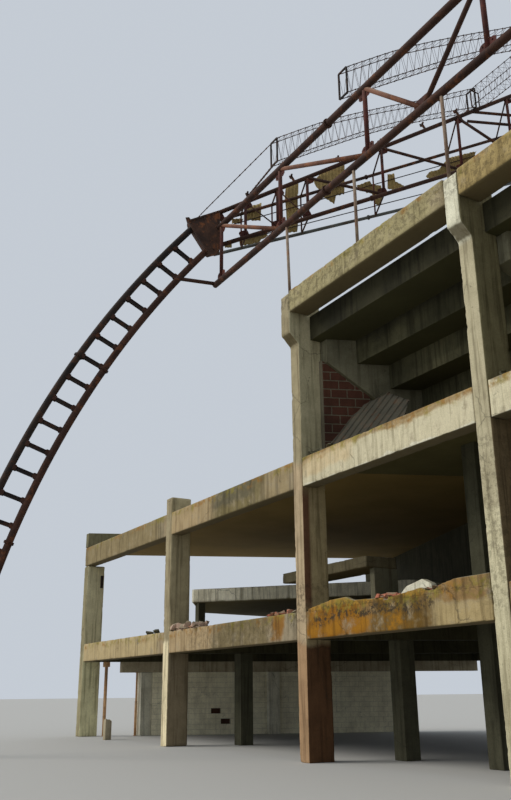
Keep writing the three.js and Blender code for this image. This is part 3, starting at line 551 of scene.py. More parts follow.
def stain_columns_with_light(graph, lift):
    sides = {
        "front": graph.step(graph.facing_y, -0.35, -0.65),
        "side": graph.step(graph.facing_x, 0.35, 0.65),
    }
    # each face gets its own tone: stains together with painted light and shade
    for tint, strength, face, xs, zs in COLUMN_STAINS_AND_LIGHT:
        graph.coat(tint, graph.band(graph.x, *xs, 0.05), graph.band(lift, *zs, 0.12), sides[face], strength)
    xs, ys, zs = MAROON_STRIP
    strip = graph.times(graph.band(graph.x, *xs, 0.05), graph.band(graph.y, *ys, 0.05))
    graph.coat(MAROON, strip, graph.band(lift, *zs, 0.3), sides["side"], 0.85)


def spot_black(graph, spread, lift):
    for xs, zs, strength in SPOTTED:
        there = graph.times(graph.band(spread, *xs, 0.2), graph.band(lift, *zs, 0.07))
        graph.coat(BLACK_GROWTH, there, graph.step(graph.noise(7.5, 4, 0.75, seed=2.2), 0.47, 0.56), strength)


def concrete(
    name, light, dark, beams=False, columns=False, soffit_dirt_and_shade=SOFFIT_DIRT_AND_SHADE,
    streaks=0.55, chips=0.5, field=None, painted_shade_heights=None,
):
    """Cast concrete: mottled, streaked from above, spotted, cracked, darker underneath with dirt and painted
    shade.

    With field its sides towards the field take that colour. Given two heights for painted shade, it darkens
    from the first to the second and stays dark above."""
    graph = Graph(name, 0.92)
    broad = graph.noise(0.5, 4, 0.6, seed=3.1)
    medium = graph.noise(2.3, 5, 0.65, seed=8.4)
    grain = graph.noise(42, 3, 0.75)
    pores = graph.step(graph.cells(26, seed=2.0), 0.16, 0.07)
    graph.colour = graph.mix(graph.step(broad, 0.36, 0.64), light, dark)
    drift = graph.times(graph.math("SUBTRACT", graph.noise(1.3, 4, 0.6, seed=6.6), 0.5), 1.3)
    spread = graph.math("ADD", graph.x, drift)
    lift = graph.math("ADD", graph.z, graph.times(drift, 0.35))
    if beams:
        stain_beams_and_highlight(graph, spread, lift, medium)
    if columns:
        stain_columns_with_light(graph, lift)
    if field:
        graph.coat(field, graph.step(graph.facing_y, 0.2, 0.7), 0.85)
    # painted shade: darker above the given height, as on the top riser in deep shade under the top beam
    if painted_shade_heights:
        graph.stain((0.42, 0.42, 0.42), graph.step(graph.z, *painted_shade_heights))
    # mottling, then dark and pale runs of water
    graph.stain((0.52, 0.5, 0.46), graph.step(medium, 0.36, 0.68), 0.42)
    flow = graph.noise(1.0, 4, 0.65, (7.5, 7.5, 0.42), 5.0)
    fine_flow = graph.noise(1.0, 3, 0.7, (24.0, 24.0, 0.8), 9.0)
    graph.stain((0.36, 0.34, 0.3), graph.step(flow, 0.47, 0.66), streaks)
    graph.stain((1.5, 1.48, 1.4), graph.step(fine_flow, 0.56, 0.74), streaks * 0.55)
    # spots, cracks and pores
    if beams or columns:
        spot_black(graph, spread, lift)
    blotch = graph.step(graph.noise(2.4, 4, 0.7, seed=12.0), 0.56, 0.66)
    graph.coat(SOOT, graph.step(graph.cells(9.5, seed=4.0, wander=0.25), 0.3, 0.16), blotch, 0.4)
    crack = graph.step(graph.cells(0.75, "DISTANCE_TO_EDGE", seed=1.0, wander=0.5), 0.011, 0.004)
    crack = graph.times(crack, graph.step(graph.noise(0.6, 2, 0.5, seed=7.7), 0.55, 0.6), chips)
    graph.coat(SOOT, crack, 0.85)
    graph.coat(SOOT, pores, 0.3)
    graph.stain(graph.mix(graph.step(grain, 0.3, 0.72), (0.82, 0.82, 0.82), (1.1, 1.1, 1.1)), 1.0)
    # undersides darkened with dirt and painted shade, and dusty tops
    underside_dirt_and_shade = graph.mix(graph.step(broad, 0.35, 0.65), soffit_dirt_and_shade, tuple(0.85 * value for value in soffit_dirt_and_shade))
    graph.coat(underside_dirt_and_shade, graph.step(graph.facing_z, -0.45, -0.8), 0.94)
    dust = graph.mix(graph.step(medium, 0.4, 0.6), (0.17, 0.16, 0.085), (0.3, 0.265, 0.19))
    graph.coat(dust, graph.step(graph.facing_z, 0.55, 0.85), 0.8)
    boards = graph.noise(1.0, 2, 0.5, (11.0, 11.0, 0.35), 14.0)
    height = graph.math("ADD", graph.times(grain, 0.12), graph.times(boards, 0.3))
    height = graph.math("ADD", height, graph.times(medium, 0.8))
    height = graph.math("SUBTRACT", height, graph.times(graph.math("MAXIMUM", pores, crack), 0.45))
    return graph.finish(height, 0.009)


def rust(name, base, worn, orange=0.5, top=(0.33, 0.25, 0.18), lit_top_share=0.6):
    """Painted steel gone to rust: flaking base colour, orange bloom, and a painted highlight on the upper
    sides.
    """
    graph = Graph(name, 0.8)
    scale = graph.noise(14, 5, 0.7, seed=5.0)
    graph.colour = graph.mix(graph.step(graph.noise(1.7, 4, 0.65, seed=2.0), 0.38, 0.62), base, worn)
    graph.coat((0.3, 0.1, 0.03), graph.step(graph.noise(3.1, 5, 0.7, seed=9.0), 0.52, 0.66), orange)
    graph.stain((0.4, 0.36, 0.34), graph.step(scale, 0.5, 0.72), 0.6)
    # painted highlight: upper sides lighter, where light falls from above
    graph.coat(top, graph.step(graph.facing_z, 0.35, 0.85), graph.step(scale, 0.3, 0.6), lit_top_share)
    return graph.finish(graph.math("ADD", scale, graph.noise(60, 2, 0.6)), 0.004)


def make_materials():
    """Every finish, by name."""
    return {
        "facade": concrete("facade_concrete", BEIGE, STONE, beams=True),
        "columns": concrete("column_concrete", BEIGE, STONE, columns=True, streaks=0.65),
        # upstand: dark base colour, partly black staining and partly painted shade
        "upstand": concrete("upstand_concrete", (0.2, 0.18, 0.1), (0.17, 0.15, 0.09), streaks=0.4),
        # seating, raker, inner and lower slab: dark base colours, partly dirt and partly painted shade of the
        # dark interior; their sides towards the field keep the plain field colour
        "seating": concrete(
            "seating_concrete", (0.125, 0.115, 0.06), (0.06, 0.056, 0.029), soffit_dirt_and_shade=(0.06, 0.056, 0.022),
            streaks=0.7, field=STONE, painted_shade_heights=TOP_RISER,
        ),
        "raker": concrete(
            "raker_concrete", (0.21, 0.195, 0.125), (0.15, 0.14, 0.09), soffit_dirt_and_shade=(0.1, 0.09, 0.05), field=STONE,
        ),
        "inner": concrete("inner_concrete", (0.09, 0.086, 0.052), (0.068, 0.064, 0.038), field=STONE),
        "wing_slab": concrete("wing_slab_concrete", STONE, UMBER, soffit_dirt_and_shade=(0.255, 0.17, 0.047)),
        "stand_slab": concrete("stand_slab_concrete", STONE, UMBER, soffit_dirt_and_shade=(0.115, 0.1, 0.034)),
        "lower_slab": concrete(
            "lower_slab_concrete", (0.07, 0.062, 0.03), (0.05, 0.045, 0.022),
            soffit_dirt_and_shade=(0.028, 0.026, 0.011), field=STONE,
        ),
        # mezzanine: pale base colours, partly its own tone and partly painted light
        "mezzanine": concrete(
            "mezzanine_concrete", (0.92, 0.87, 0.68), (0.8, 0.75, 0.57),
            streaks=0.8, soffit_dirt_and_shade=(0.22, 0.19, 0.11),
        ),
        "landing": concrete("landing_concrete", (0.21, 0.175, 0.1), (0.155, 0.13, 0.074), streaks=0.5),
        "lintel": concrete("lintel_concrete", (0.5, 0.43, 0.29), (0.38, 0.32, 0.21)),
        # block wall: its own pale paint, raised further as painted light
        "block": concrete("painted_block", (0.93, 0.87, 0.62), (0.86, 0.79, 0.56), streaks=0.15, chips=0.2),
        "pilaster": concrete("pilaster_concrete", (0.85, 0.82, 0.66), (0.7, 0.66, 0.5), streaks=0.5),
        "steel": rust("rusted_steel", (0.036, 0.018, 0.013), (0.062, 0.028, 0.018), 0.3, lit_top_share=0.45),
        "dark_steel": rust("dark_steel", (0.02, 0.016, 0.015), (0.036, 0.024, 0.018), 0.15, lit_top_share=0.3),
        "red_steel": rust(
            "red_painted_steel", (0.085, 0.022, 0.016), (0.05, 0.018, 0.014), 0.25, lit_top_share=0.25,
        ),
        "bare_steel": rust("bare_rust", (0.19, 0.085, 0.05), (0.12, 0.052, 0.032), 0.6, (0.42, 0.32, 0.24)),
        # props: their own pale orange paint, brightened further as painted light
        "prop_steel": rust("prop_steel", (0.75, 0.45, 0.22), (0.55, 0.3, 0.14), 0.4, (0.5, 0.42, 0.33)),
        "node_steel": rust(
            "node_steel", (0.085, 0.042, 0.026), (0.04, 0.023, 0.017), 0.5, (0.3, 0.2, 0.12), 0.7,
        ),
        "grey_steel": rust(
            "galvanised_steel", (0.12, 0.13, 0.125), (0.08, 0.08, 0.07), 0.15, (0.5, 0.5, 0.47), 0.8,
        ),
        "post_steel": rust("post_steel", (0.3, 0.23, 0.165), (0.17, 0.11, 0.075), 0.45),
        "cladding": rust("old_cladding", (0.36, 0.26, 0.1), (0.25, 0.18, 0.07), 0.25, (0.45, 0.37, 0.17)),
        "sheet": rust(
            "fallen_sheet", (0.04, 0.036, 0.023), (0.027, 0.025, 0.016), 0.12, (0.048, 0.044, 0.029), 0.4,
        ),
        # brick and mortar: dark red brick and grey joints, darkened further as painted shade
        "brick": concrete(
            "hollow_brick", (0.11, 0.043, 0.026), (0.062, 0.028, 0.018),
            streaks=0.2, soffit_dirt_and_shade=(0.1, 0.03, 0.02),
        ),
        "mortar": concrete("brick_mortar", (0.22, 0.19, 0.13), (0.16, 0.14, 0.095), streaks=0.2),
        "joint": concrete("block_joint", (0.6, 0.55, 0.4), (0.5, 0.45, 0.32), streaks=0.1),
        "red_rubble": concrete("red_rubble", (0.5, 0.17, 0.1), (0.4, 0.2, 0.13), streaks=0.0),
        "rubble": concrete("rubble", (0.58, 0.4, 0.3), (0.45, 0.32, 0.23), streaks=0.0),
    }


def leg_arc(frame_x, radius, steps=64):
    start = foot_angle(radius)
    turns = [start + (LEG_TOP_ANGLE - start) * i / steps for i in range(steps + 1)]
    return [leg_point(frame_x, radius, turn) for turn in turns]


def gusset(shape, centre, along, across, length, width, thickness=GUSSET):
    """A flat plate with cut corners on a joint; its normal is along x across."""
    normal = along.cross(across).normalized()
    corners = [(-1, -0.6), (-0.7, -1), (0.7, -1), (1, -0.6), (1, 0.6), (0.7, 1), (-0.7, 1), (-1, 0.6)]
    start = centre - normal * thickness / 2
    outline = [start + along * (u * length / 2) + across * (v * width / 2) for u, v in corners]
    shape.prism(outline, normal * thickness)


def bolt(shape, centre, normal, radius=0.017, height=0.016):
    side = normal.orthogonal().normalized()
    shape.bar(centre, centre + normal * height, circle(radius, 6), side)


def collar(shape, path, share, radius, width=0.05):
    """A pair of bolted flanges where two lengths of tube meet."""
    middle = at_shares(path, 100)[round(share * 100)]
    ahead = at_shares(path, 100)[min(round(share * 100) + 1, 100)]
    along = (ahead - middle).normalized()
    side = along.cross(ACROSS if abs(along.dot(ACROSS)) < 0.9 else UP).normalized()
    for start in (-0.6, 0.1):
        face = middle + along * width * start
        shape.bar(face, face + along * width * 0.5, circle(radius, 16), side)
    for i in range(8):
        turn = Matrix.Rotation(math.pi / 4 * i, 3, along) @ side
        bolt(shape, middle + turn * (radius - 0.02) - along * width, along, 0.012, 2 * width)


def make_leg(frame_x, name, paints):
    shape = Shape()
    inner, outer = LEG_RADIUS - LEG_DEPTH / 2, LEG_RADIUS + LEG_DEPTH / 2
    for paint, radius in enumerate((inner, outer)):
        shape.paint = paint
        arc = leg_arc(frame_x, radius)
        shape.tube(arc, LEG_TUBE - 0.008, 16)
        for share in LEG_SPLICES:
            collar(shape, arc, share, LEG_TUBE + COLLAR_LIP)
    for i in range(RUNG_COUNT):
        turn = RUNG_TOP - i * RUNG_STEP
        start, end = leg_point(frame_x, inner, turn), leg_point(frame_x, outer, turn)
        outward = (end - start).normalized()
        tangent = outward.cross(ACROSS)
        for side in (-1, 1):
            shape.paint = 2
            offset = ACROSS * (side * RUNG_HALF_GAP)
            section = channel(RUNG_SIZE, RUNG_FLANGE * -side, RUNG_WALL * -side)
            shape.bar(start + offset, end + offset, section, tangent)
            shape.paint = 3
            for place, inward in ((start, outward), (end, -outward)):
                centre = place + inward * 0.1 + ACROSS * (side * RUNG_GUSSET_OUT)
                gusset(shape, centre, outward, tangent, *RUNG_GUSSET)
                for shift in (-0.045, 0.045):
                    bolt(shape, centre + inward * 0.05 + tangent * shift, ACROSS * side)
    foot = leg_point(frame_x, LEG_RADIUS, foot_angle(LEG_RADIUS))
    shape.block(foot.x - LEG_FOOT, foot.x + LEG_FOOT, foot.y - LEG_FOOT, foot.y + LEG_FOOT, 0, FOOT_PLATE)
    for i in (-1, 1):
        for j in (-1, 1):
            reach = LEG_FOOT - PLATE_BOLT_IN
            spot = Vector((foot.x + i * reach, foot.y + j * reach, FOOT_PLATE))
            bolt(shape, spot, UP, 0.035, 0.05)
    add(f"leg_{name}", shape, paints, "steel dark_steel dark_steel steel", "steel", f"ladder_leg_{name}")


def make_node_box(shape, frame_x):
    """The heavy box where leg, roof frame and girder meet, with stiffeners and a pointed ear."""
    outline = [frame_point(frame_x, s, z, -NODE_WIDTH / 2) for s, z in NODE_OUTLINE]
    shape.prism(outline, ACROSS * NODE_WIDTH)
    centre = sum(outline, Vector()) / len(outline)
    for side in (-1, 1):
        plane = ACROSS * (NODE_WIDTH / 2 + side * (NODE_WIDTH / 2 + 0.012))
        rim = [point + plane for point in outline]
        edge = [point.lerp(centre + plane, RIM_INSET) for point in rim]
        for i, point in enumerate(edge):
            shape.bar(point, edge[(i + 1) % 4], rectangle(*RIM_BAR), ACROSS)
        shape.bar(rim[0].lerp(rim[3], 0.5), rim[1].lerp(rim[2], 0.5), rectangle(*RIM_STIFFENER), ACROSS)
        for i in range(4):
            for share in (0.2, 0.4, 0.6, 0.8):
                bolt(shape, rim[i].lerp(rim[(i + 1) % 4], share).lerp(centre + plane, 0.12), ACROSS * side)
    tip = [(-1.04, 16.99), (-1.1, 17.2), (-0.98, 17.22), (-0.86, 17.06)]
    ear = [frame_point(frame_x, s, z, -0.02) for s, z in tip]
    shape.prism(ear, ACROSS * 0.04)


def cleat(shape, foot, rise, along):
    """A T-shaped cleat that once held a purlin."""
    head = foot + rise * 0.2
    shape.bar(foot, head, rectangle(0.06, 0.07), along)
    shape.bar(head - ACROSS * 0.13, head + ACROSS * 0.13, rectangle(0.06, 0.05), UP)
    shape.bar(head + ACROSS * 0.1, head + ACROSS * 0.1 + rise * 0.09, rectangle(0.05, 0.05), along)


def make_roof_frame(frame_x, name, paints):
    shape = Shape()
    shape.paint = 2
    make_node_box(shape, frame_x)
    for chord, start in CHORD_STARTS.items():
        height, slope, out = ROOF_CHORDS[chord]
        radius = BACK_TUBE - 0.01 if out else ROOF_TUBE - 0.018
        shape.paint = 4 if chord == "back_bottom" else 2 if chord == "back_top" else 0
        ends = [chord_point(frame_x, chord, start), chord_point(frame_x, chord, ROOF_REACH - 0.12)]
        shape.tube(ends, radius)
        for share in ROOF_SPLICES:
            collar(shape, ends, share, radius + 0.03, 0.04)
    for index, s in enumerate(ROOF_PANELS):
        s = min(s, ROOF_REACH - 0.25)
        for first, second, paint in CHORD_PAIRS:
            shape.paint = paint
            radius = ROOF_WEB if first == "top" and second == "bottom" else BACK_WEB
            shape.tube([chord_point(frame_x, first, s), chord_point(frame_x, second, s)], radius, 12)
        shape.paint = 3
        for chord in ("top", "bottom"):
            slope, rise = chord_axes(frame_x, chord, s)
            down = -1 if chord == "top" else 1
            centre = chord_point(frame_x, chord, s) + rise * (down * 0.14)
            gusset(shape, centre, slope, rise, *PANEL_GUSSET)
            for shift in (-0.1, 0.1):
                for side in (-1, 1):
                    spot = centre + slope * shift + rise * (down * 0.08) + ACROSS * (side * GUSSET / 2)
                    bolt(shape, spot, ACROSS * side, 0.02, 0.02)
        if index > 0 and index + 1 < len(ROOF_PANELS):
            shape.paint = 0
            end = chord_point(frame_x, "bottom", min(ROOF_PANELS[index + 1], ROOF_REACH - 0.25))
            radius = ROOF_WEB if index >= FIRST_DIAGONAL else THIN_WEB
            shape.tube([chord_point(frame_x, "top", s), end], radius, 12)
    shape.paint = 2
    for s in CLEAT_PLACES:
        slope, rise = chord_axes(frame_x, "top", s)
        cleat(shape, chord_point(frame_x, "top", s) + rise * (ROOF_TUBE - 0.02), rise, slope)
    shape.paint = 0
    for z in TIE_HEIGHTS:
        start, end = frame_point(frame_x, TIE_START, z), frame_point(frame_x, ROOF_REACH - 0.12, z)
        shape.tube([start, end], ROOF_WEB, 12)
    keys = "steel red_steel node_steel red_steel grey_steel"
    add(f"frame_{name}", shape, paints, keys, "steel", f"roof_frame_{name}")


def make_girder(paints):
    shape = Shape()

    def at(x, z):
        return Vector((x, 0.0, z))

    shape.paint = 0
    top = [at(FRAME_X[0], TOP_CHORD_Z), at(FRAME_X[1], TOP_CHORD_Z)]
    bottom = [at(GIRDER_FOOT_X, BOTTOM_CHORD_Z), at(PANEL_X[5], BOTTOM_CHORD_Z)]
    for chord in (top, bottom):
        shape.tube(chord, CHORD_RADIUS - 0.006)
        for share in GIRDER_SPLICES:
            collar(shape, chord, share, CHORD_RADIUS + COLLAR_LIP)
    for index, x in enumerate(PANEL_X):
        shape.paint = 1
        shape.tube([at(x, BOTTOM_CHORD_Z), at(x, TOP_CHORD_Z)], WEB_RADIUS, 12)
        shape.paint = 4
        for z, side in ((BOTTOM_CHORD_Z, 1), (TOP_CHORD_Z, -1)):
            gusset(shape, at(x, z + side * 0.17), RIGHT, UP, *GIRDER_GUSSET)
            for shift in (-0.15, 0.15):
                bolt(shape, at(x + shift, z + side * 0.24) - INWARD * GUSSET / 2, -INWARD, 0.02, 0.02)
        if index + 1 == len(PANEL_X):
            continue
        following = PANEL_X[index + 1]
        middle = (x + following) / 2
        shape.paint = 2 if index == 2 else 3 if index < 2 else 1
        foot = following if index < 2 else middle
        shape.tube([at(x, TOP_CHORD_Z), at(foot, BOTTOM_CHORD_Z)], WEB_RADIUS, 12)
        if index >= 2:
            shape.paint = 0
            shape.tube([at(middle, BOTTOM_CHORD_Z), at(following, TOP_CHORD_Z)], WEB_RADIUS, 12)
            shape.paint = 4
            gusset(shape, at(middle, BOTTOM_CHORD_Z + 0.17), RIGHT, UP, *MIDDLE_GUSSET)
    shape.paint = 0
    for frame_x, end in ((FRAME_X[0], GIRDER_FOOT_X + CHORD_RADIUS), (FRAME_X[1], PANEL_X[5])):
        side = leg_point(frame_x, LEG_RADIUS - LEG_DEPTH / 2, STRUT_ANGLE)
        shape.tube([side, at(end, BOTTOM_CHORD_Z)], WEB_RADIUS, 12)
    add("girder", shape, paints, "steel red_steel bare_steel bare_steel red_steel", "steel", "long_girder")


def make_posts(paints):
    for index, x in enumerate(POST_X):
        shape = Shape()
        foot_z = L3_TOP - HEAD_DROP if x < COLUMN_WIDTH else L3_TOP
        lean = POST_LEAN if index == 0 else 0.0
        foot, head = Vector((x, 0, foot_z)), Vector((x + lean, 0, BOTTOM_CHORD_Z - CHORD_RADIUS))
        shape.tube([foot, head], POST_RADIUS - 0.002, 12)
        shape.block(x - 0.13, x + 0.13, -0.13, 0.1, foot_z, foot_z + POST_PLATE)
        for i in (-1, 1):
            bolt(shape, Vector((x + i * 0.09, -0.02, foot_z + POST_PLATE)), UP, 0.018, 0.03)
            bolt(shape, foot.lerp(head, 0.4) + RIGHT * (i * 0.03), RIGHT * i, 0.015, 0.03)
        add(f"post_{index + 1}", shape, paints, "post_steel", "steel", f"girder_post_{index + 1}")


def smooth_curve(points, steps):
    """A curve through the points, with its ends carried on straight."""
    spots = [2 * points[0] - points[1], *points, 2 * points[-1] - points[-2]]
    curve = []
    for i in range(1, len(spots) - 2):
        a, b, c, d = spots[i - 1:i + 3]
        for k in range(steps):
            t = k / steps
            cubic = (3 * b - a - 3 * c + d) * t ** 3
            curve.append(0.5 * (2 * b + (c - a) * t + (2 * a - 5 * b + 4 * c - d) * t ** 2 + cubic))
    return [*curve, points[-1]]


def at_shares(path, count):
    """Points that divide a path into equal lengths."""
    lengths = [0.0]
    for a, b in zip(path, path[1:]):
        lengths.append(lengths[-1] + (b - a).length)
    spots = []
    for i in range(count + 1):
        goal = lengths[-1] * i / count
        k = next((k for k in range(1, len(path)) if lengths[k] >= goal - 1e-9), len(path) - 1)
        share = (goal - lengths[k - 1]) / max(lengths[k] - lengths[k - 1], 1e-9)
        spots.append(path[k - 1].lerp(path[k], share))
    return spots


def lace(shape, first, second, count):
    """Zigzag bars between two chords."""
    one, two = at_shares(first, count), at_shares(second, count)
    for i in range(count):
        half_way = two[i].lerp(two[i + 1], 0.5)
        shape.bar(one[i], half_way, circle(LACING_BAR, 6))
        shape.bar(half_way, one[i + 1], circle(LACING_BAR, 6))


def box_lattice(shape, chords, faces=((0, 2), (1, 3), (0, 1), (2, 3))):
    """Four chords (top and bottom, one side and the other) laced on the given faces."""
    length = sum(((b - a).length for a, b in zip(chords[0], chords[0][1:])), 0.0)
    count = max(2, round(length / LACING_STEP))
    for chord in chords:
        shape.tube(chord, RAFTER_BAR, 8)
        for spot in at_shares(chord, count)[1:-1]:
            shape.bar(spot - UP * RAFTER_JOINT, spot + UP * RAFTER_JOINT, circle(RAFTER_JOINT, 6))
    for i, j in faces:
        lace(shape, chords[i], chords[j], count)


def end_frame(shape, corners, size=END_FRAME_BAR):
    for i, corner in enumerate(corners):
        shape.bar(corner, corners[(i + 1) % 4], rectangle(size, size))


def make_rafters(paints):
    half = RAFTER_WIDTH / 2
    keys = (("top", -half), ("top", half), ("bottom", -half), ("bottom", half))
    for index, x in enumerate(RAFTER_X):
        shape = Shape()
        sides = {}
        for level, points in (("top", RAFTER_TOP), ("bottom", RAFTER_BOTTOM)):
            for side in (-half, half):
                sides[level, side] = [frame_point(x + side, s, z) for s, z in points]
        box_lattice(shape, [smooth_curve(sides[key][1:], 6) for key in keys])
        if index != BROKEN_RAFTER:
            box_lattice(shape, [sides[key][:2] for key in keys], ((0, 1), (2, 3)))
        shape.paint = 1
        for spot in (1, len(RAFTER_TOP) - 1):
            end_frame(shape, [sides[key][spot] for key in (keys[0], keys[1], keys[3], keys[2])])
        add(f"lattice_{index + 1}", shape, paints, "steel dark_steel", "steel", f"rafter_{index + 1}")


def make_eaves(paints):
    half = RAFTER_WIDTH / 2
    shape = Shape()

    def place(x, z, side):
        return frame_point(x, EAVES_S, z) + INWARD * (half + side)

    levels = [(z, side) for z in (EAVES_TOP, EAVES_BOTTOM) for side in (-half, half)]
    box_lattice(shape, [[place(RAFTER_X[0], z, side), place(RAFTER_X[-1], z, side)] for z, side in levels])
    for x in RAFTER_X:
        corners = [place(x, EAVES_TOP, -half), place(x, EAVES_TOP, half), place(x, EAVES_BOTTOM, half)]
        end_frame(shape, [*corners, place(x, EAVES_BOTTOM, -half)], 0.035)
    add("eaves", shape, paints, "steel", "steel", "eaves_lattice")


def crossings(outline, a):
    """Lowest and highest b at which the line at a crosses a closed outline of (a, b) points."""
    found = []
    for (a0, b0), (a1, b1) in zip(outline, outline[1:] + outline[:1]):
        if min(a0, a1) <= a <= max(a0, a1) and a0 != a1:
            found.append(b0 + (b1 - b0) * (a - a0) / (a1 - a0))
    return (min(found), max(found)) if len(found) > 1 else None


def ribbed_sheet(shape, outline, place, pitch, depth, tear, rows=6, sharp=1):
    """Corrugated sheet inside an outline: its ribs run along b and follow each other along a."""
    low, high = min(a for a, b in outline), max(a for a, b in outline)
    count = max(2, round((high - low) / (pitch / (6 if sharp == 1 else 32))))
    columns = []
    for i in range(count + 1):
        a = low + (high - low) * (0.002 + 0.996 * i / count)
        span = crossings(outline, a)
        if span is None:
            continue
        wave = depth * (0.5 + 0.5 * math.cos(2 * math.pi * a / pitch)) ** sharp
        bottom = span[0] + tear * (0.5 + noise.noise(Vector((a * 7, span[0], 3.0))))
        top = span[1] - tear * 0.5 * (0.5 + noise.noise(Vector((a * 9, span[1], 8.0))))
        bottom = min(bottom, top - 0.01)
        column = []
        for k in range(rows + 1):
            b = bottom + (top - bottom) * k / rows
            sag = 0.25 * depth * noise.noise(Vector((a * 1.5, b * 1.5, 1.0)))
            column.append((a, b, wave + sag))
        columns.append(column)
    first, back = len(shape.points), len(columns) * (rows + 1)
    for lift in (0.0, SHEET_THICK):
        for column in columns:
            shape.points.extend(place(a, b, c + lift) for a, b, c in column)

    def at(i, k, side):
        return first + side * back + i * (rows + 1) + k

    for side in (0, 1):
        for i in range(len(columns) - 1):
            for k in range(rows):
                corners = (at(i, k, side), at(i + 1, k, side), at(i + 1, k + 1, side), at(i, k + 1, side))
                shape.face(corners, True)
    for i in range(len(columns) - 1):
        for k in (0, rows):
            shape.face((at(i, k, 0), at(i + 1, k, 0), at(i + 1, k, 1), at(i, k, 1)))
    for k in range(rows):
        for i in (0, len(columns) - 1):
            shape.face((at(i, k, 0), at(i, k + 1, 0), at(i, k + 1, 1), at(i, k, 1)))


def make_cladding(paints):
    """What is left of the cladding, hung on rails behind the back chords of the left frame."""
    shape = Shape()

    def place(s, z, lift):
        return frame_point(FRAME_X[0], s, z, CLADDING_OUT + lift)

    for outline in CLADDING:
        ribbed_sheet(shape, outline, place, CLADDING_PITCH, CLADDING_DEPTH, CLADDING_TEAR)
    add("cladding", shape, paints, "cladding", "steel")
    rails = Shape()
    for share in CLADDING_RAILS:
        ends = []
        for s in CLADDING_SPAN:
            top, bottom = chord_point(0, "back_top", s).z, chord_point(0, "back_bottom", s).z
            ends.append(frame_point(FRAME_X[0], s, bottom + (top - bottom) * share, CLADDING_OUT - 0.045))
        rails.bar(*ends, rectangle(0.02, 0.03))
    add("cladding_rails", rails, paints, "dark_steel", "steel")


def make_fallen_sheet(paints):
    shape = Shape()
    length = math.hypot(1.0, SHEET_RISE)

    def front(a, b, lift):
        return Vector((a, SHEET_FRONT_Y + b / length, L2_TOP + b * SHEET_RISE / length)) + SHEET_NORMAL * lift

    def back(a, b, lift):
        return Vector((a, SHEET_BACK_Y - b / length, L2_TOP + b * SHEET_RISE / length)) + UP * lift

    for outline, place, rows in ((SHEET_FRONT, front, 12), (SHEET_BACK, back, 8)):
        ribbed_sheet(shape, list(outline), place, SHEET_PITCH, SHEET_DEPTH, SHEET_TEAR, rows, SHEET_SHARP)
    add("fallen_roofing", shape, paints, "sheet", "sheet", "fallen_sheet")


def welded(mesh):
    """The mesh as an editable body, with its split corners joined."""
    body = bmesh.new()
    body.from_mesh(mesh)
    bmesh.ops.remove_doubles(body, verts=body.verts, dist=WELD)
    return body


def sharp_points(mesh):
    """Points along the mesh's sharp edges."""
    body = welded(mesh)
    points = []
    for edge in body.edges:
        if len(edge.link_faces) == 2 and edge.calc_face_angle(0.0) > SHARP_EDGE:
            a, b = edge.verts[0].co, edge.verts[1].co
            count = max(1, round((b - a).length / EDGE_SPACING))
            points.extend(a.lerp(b, i / count) for i in range(count + 1))
    body.free()
    return points


def cut_at(mesh, y, keep_front):
    """Keeps the part of a mesh in front of or behind an upright plane, and closes the cut."""
    body = welded(mesh)
    plane = ORIGIN + INWARD * y
    geometry = [*body.verts, *body.edges, *body.faces]
    sides = {"clear_outer": keep_front, "clear_inner": not keep_front}
    result = bmesh.ops.bisect_plane(body, geom=geometry, plane_co=plane, plane_no=INWARD, **sides)
    cut_edges = [item for item in result["geom_cut"] if isinstance(item, bmesh.types.BMEdge)]
    bmesh.ops.triangle_fill(body, use_beauty=True, edges=cut_edges)
    bmesh.ops.recalc_face_normals(body, faces=body.faces)
    body.to_mesh(mesh)
    body.free()


def weather(node, name, material, fineness=0.04, chip=0.035, front_of=None, sink=0.0):
    """A finer copy of a CAD node with worn and chipped edges; sink beds its foot in what it stands on."""
    mesh = NODES[node].data.copy()
    body = welded(mesh)
    body.to_mesh(mesh)
    body.free()
    if front_of is not None:
        cut_at(mesh, front_of, True)
    edges = sharp_points(mesh)
    tree = kdtree.KDTree(len(edges))
    for index, point in enumerate(edges):
        tree.insert(point, index)
    tree.balance()
    piece = link(name, mesh)
    remesh = piece.modifiers.new("fine", "REMESH")
    remesh.mode = "VOXEL"
    remesh.voxel_size = fineness
    graph = bpy.context.evaluated_depsgraph_get()
    fine = bpy.data.meshes.new_from_object(piece.evaluated_get(graph))
    piece.modifiers.clear()
    fine.name = name
    piece.data = fine
    places = [vertex.co.copy() for vertex in fine.vertices]
    facings = [vertex.normal.copy() for vertex in fine.vertices]
    worn = []
    for place, facing in zip(places, facings):
        near = max(0.0, 1 - tree.find(place)[2] / (WEAR_REACH * chip))
        if near > 0.0:
            rough = sum(share * noise.noise(place * scale) for share, scale in WEAR_NOISE)
            bite = max(0.0, rough - WEAR_START) * 1.5 + WEAR_FLOOR
            place = place - facing * (near ** 1.5 * min(bite, 1.0) * chip)
        worn.extend(place)
    bed = min(worn[2::3]) + 1.5 * fineness
    worn[2::3] = [z - sink if z < bed else z for z in worn[2::3]]
    fine.vertices.foreach_set("co", worn)
    fine.update()
    paint_only(fine, material)
    fine.polygons.foreach_set("use_smooth", [True] * len(fine.polygons))
    return settle(piece, (node,))


def plain_rest(node, name, material, behind):
    """The part of a CAD node behind a plane, kept plain."""
    mesh = NODES[node].data.copy()
    mesh.name = name
    cut_at(mesh, behind, False)
    paint_only(mesh, material)
    return settle(link(name, mesh), (node,))


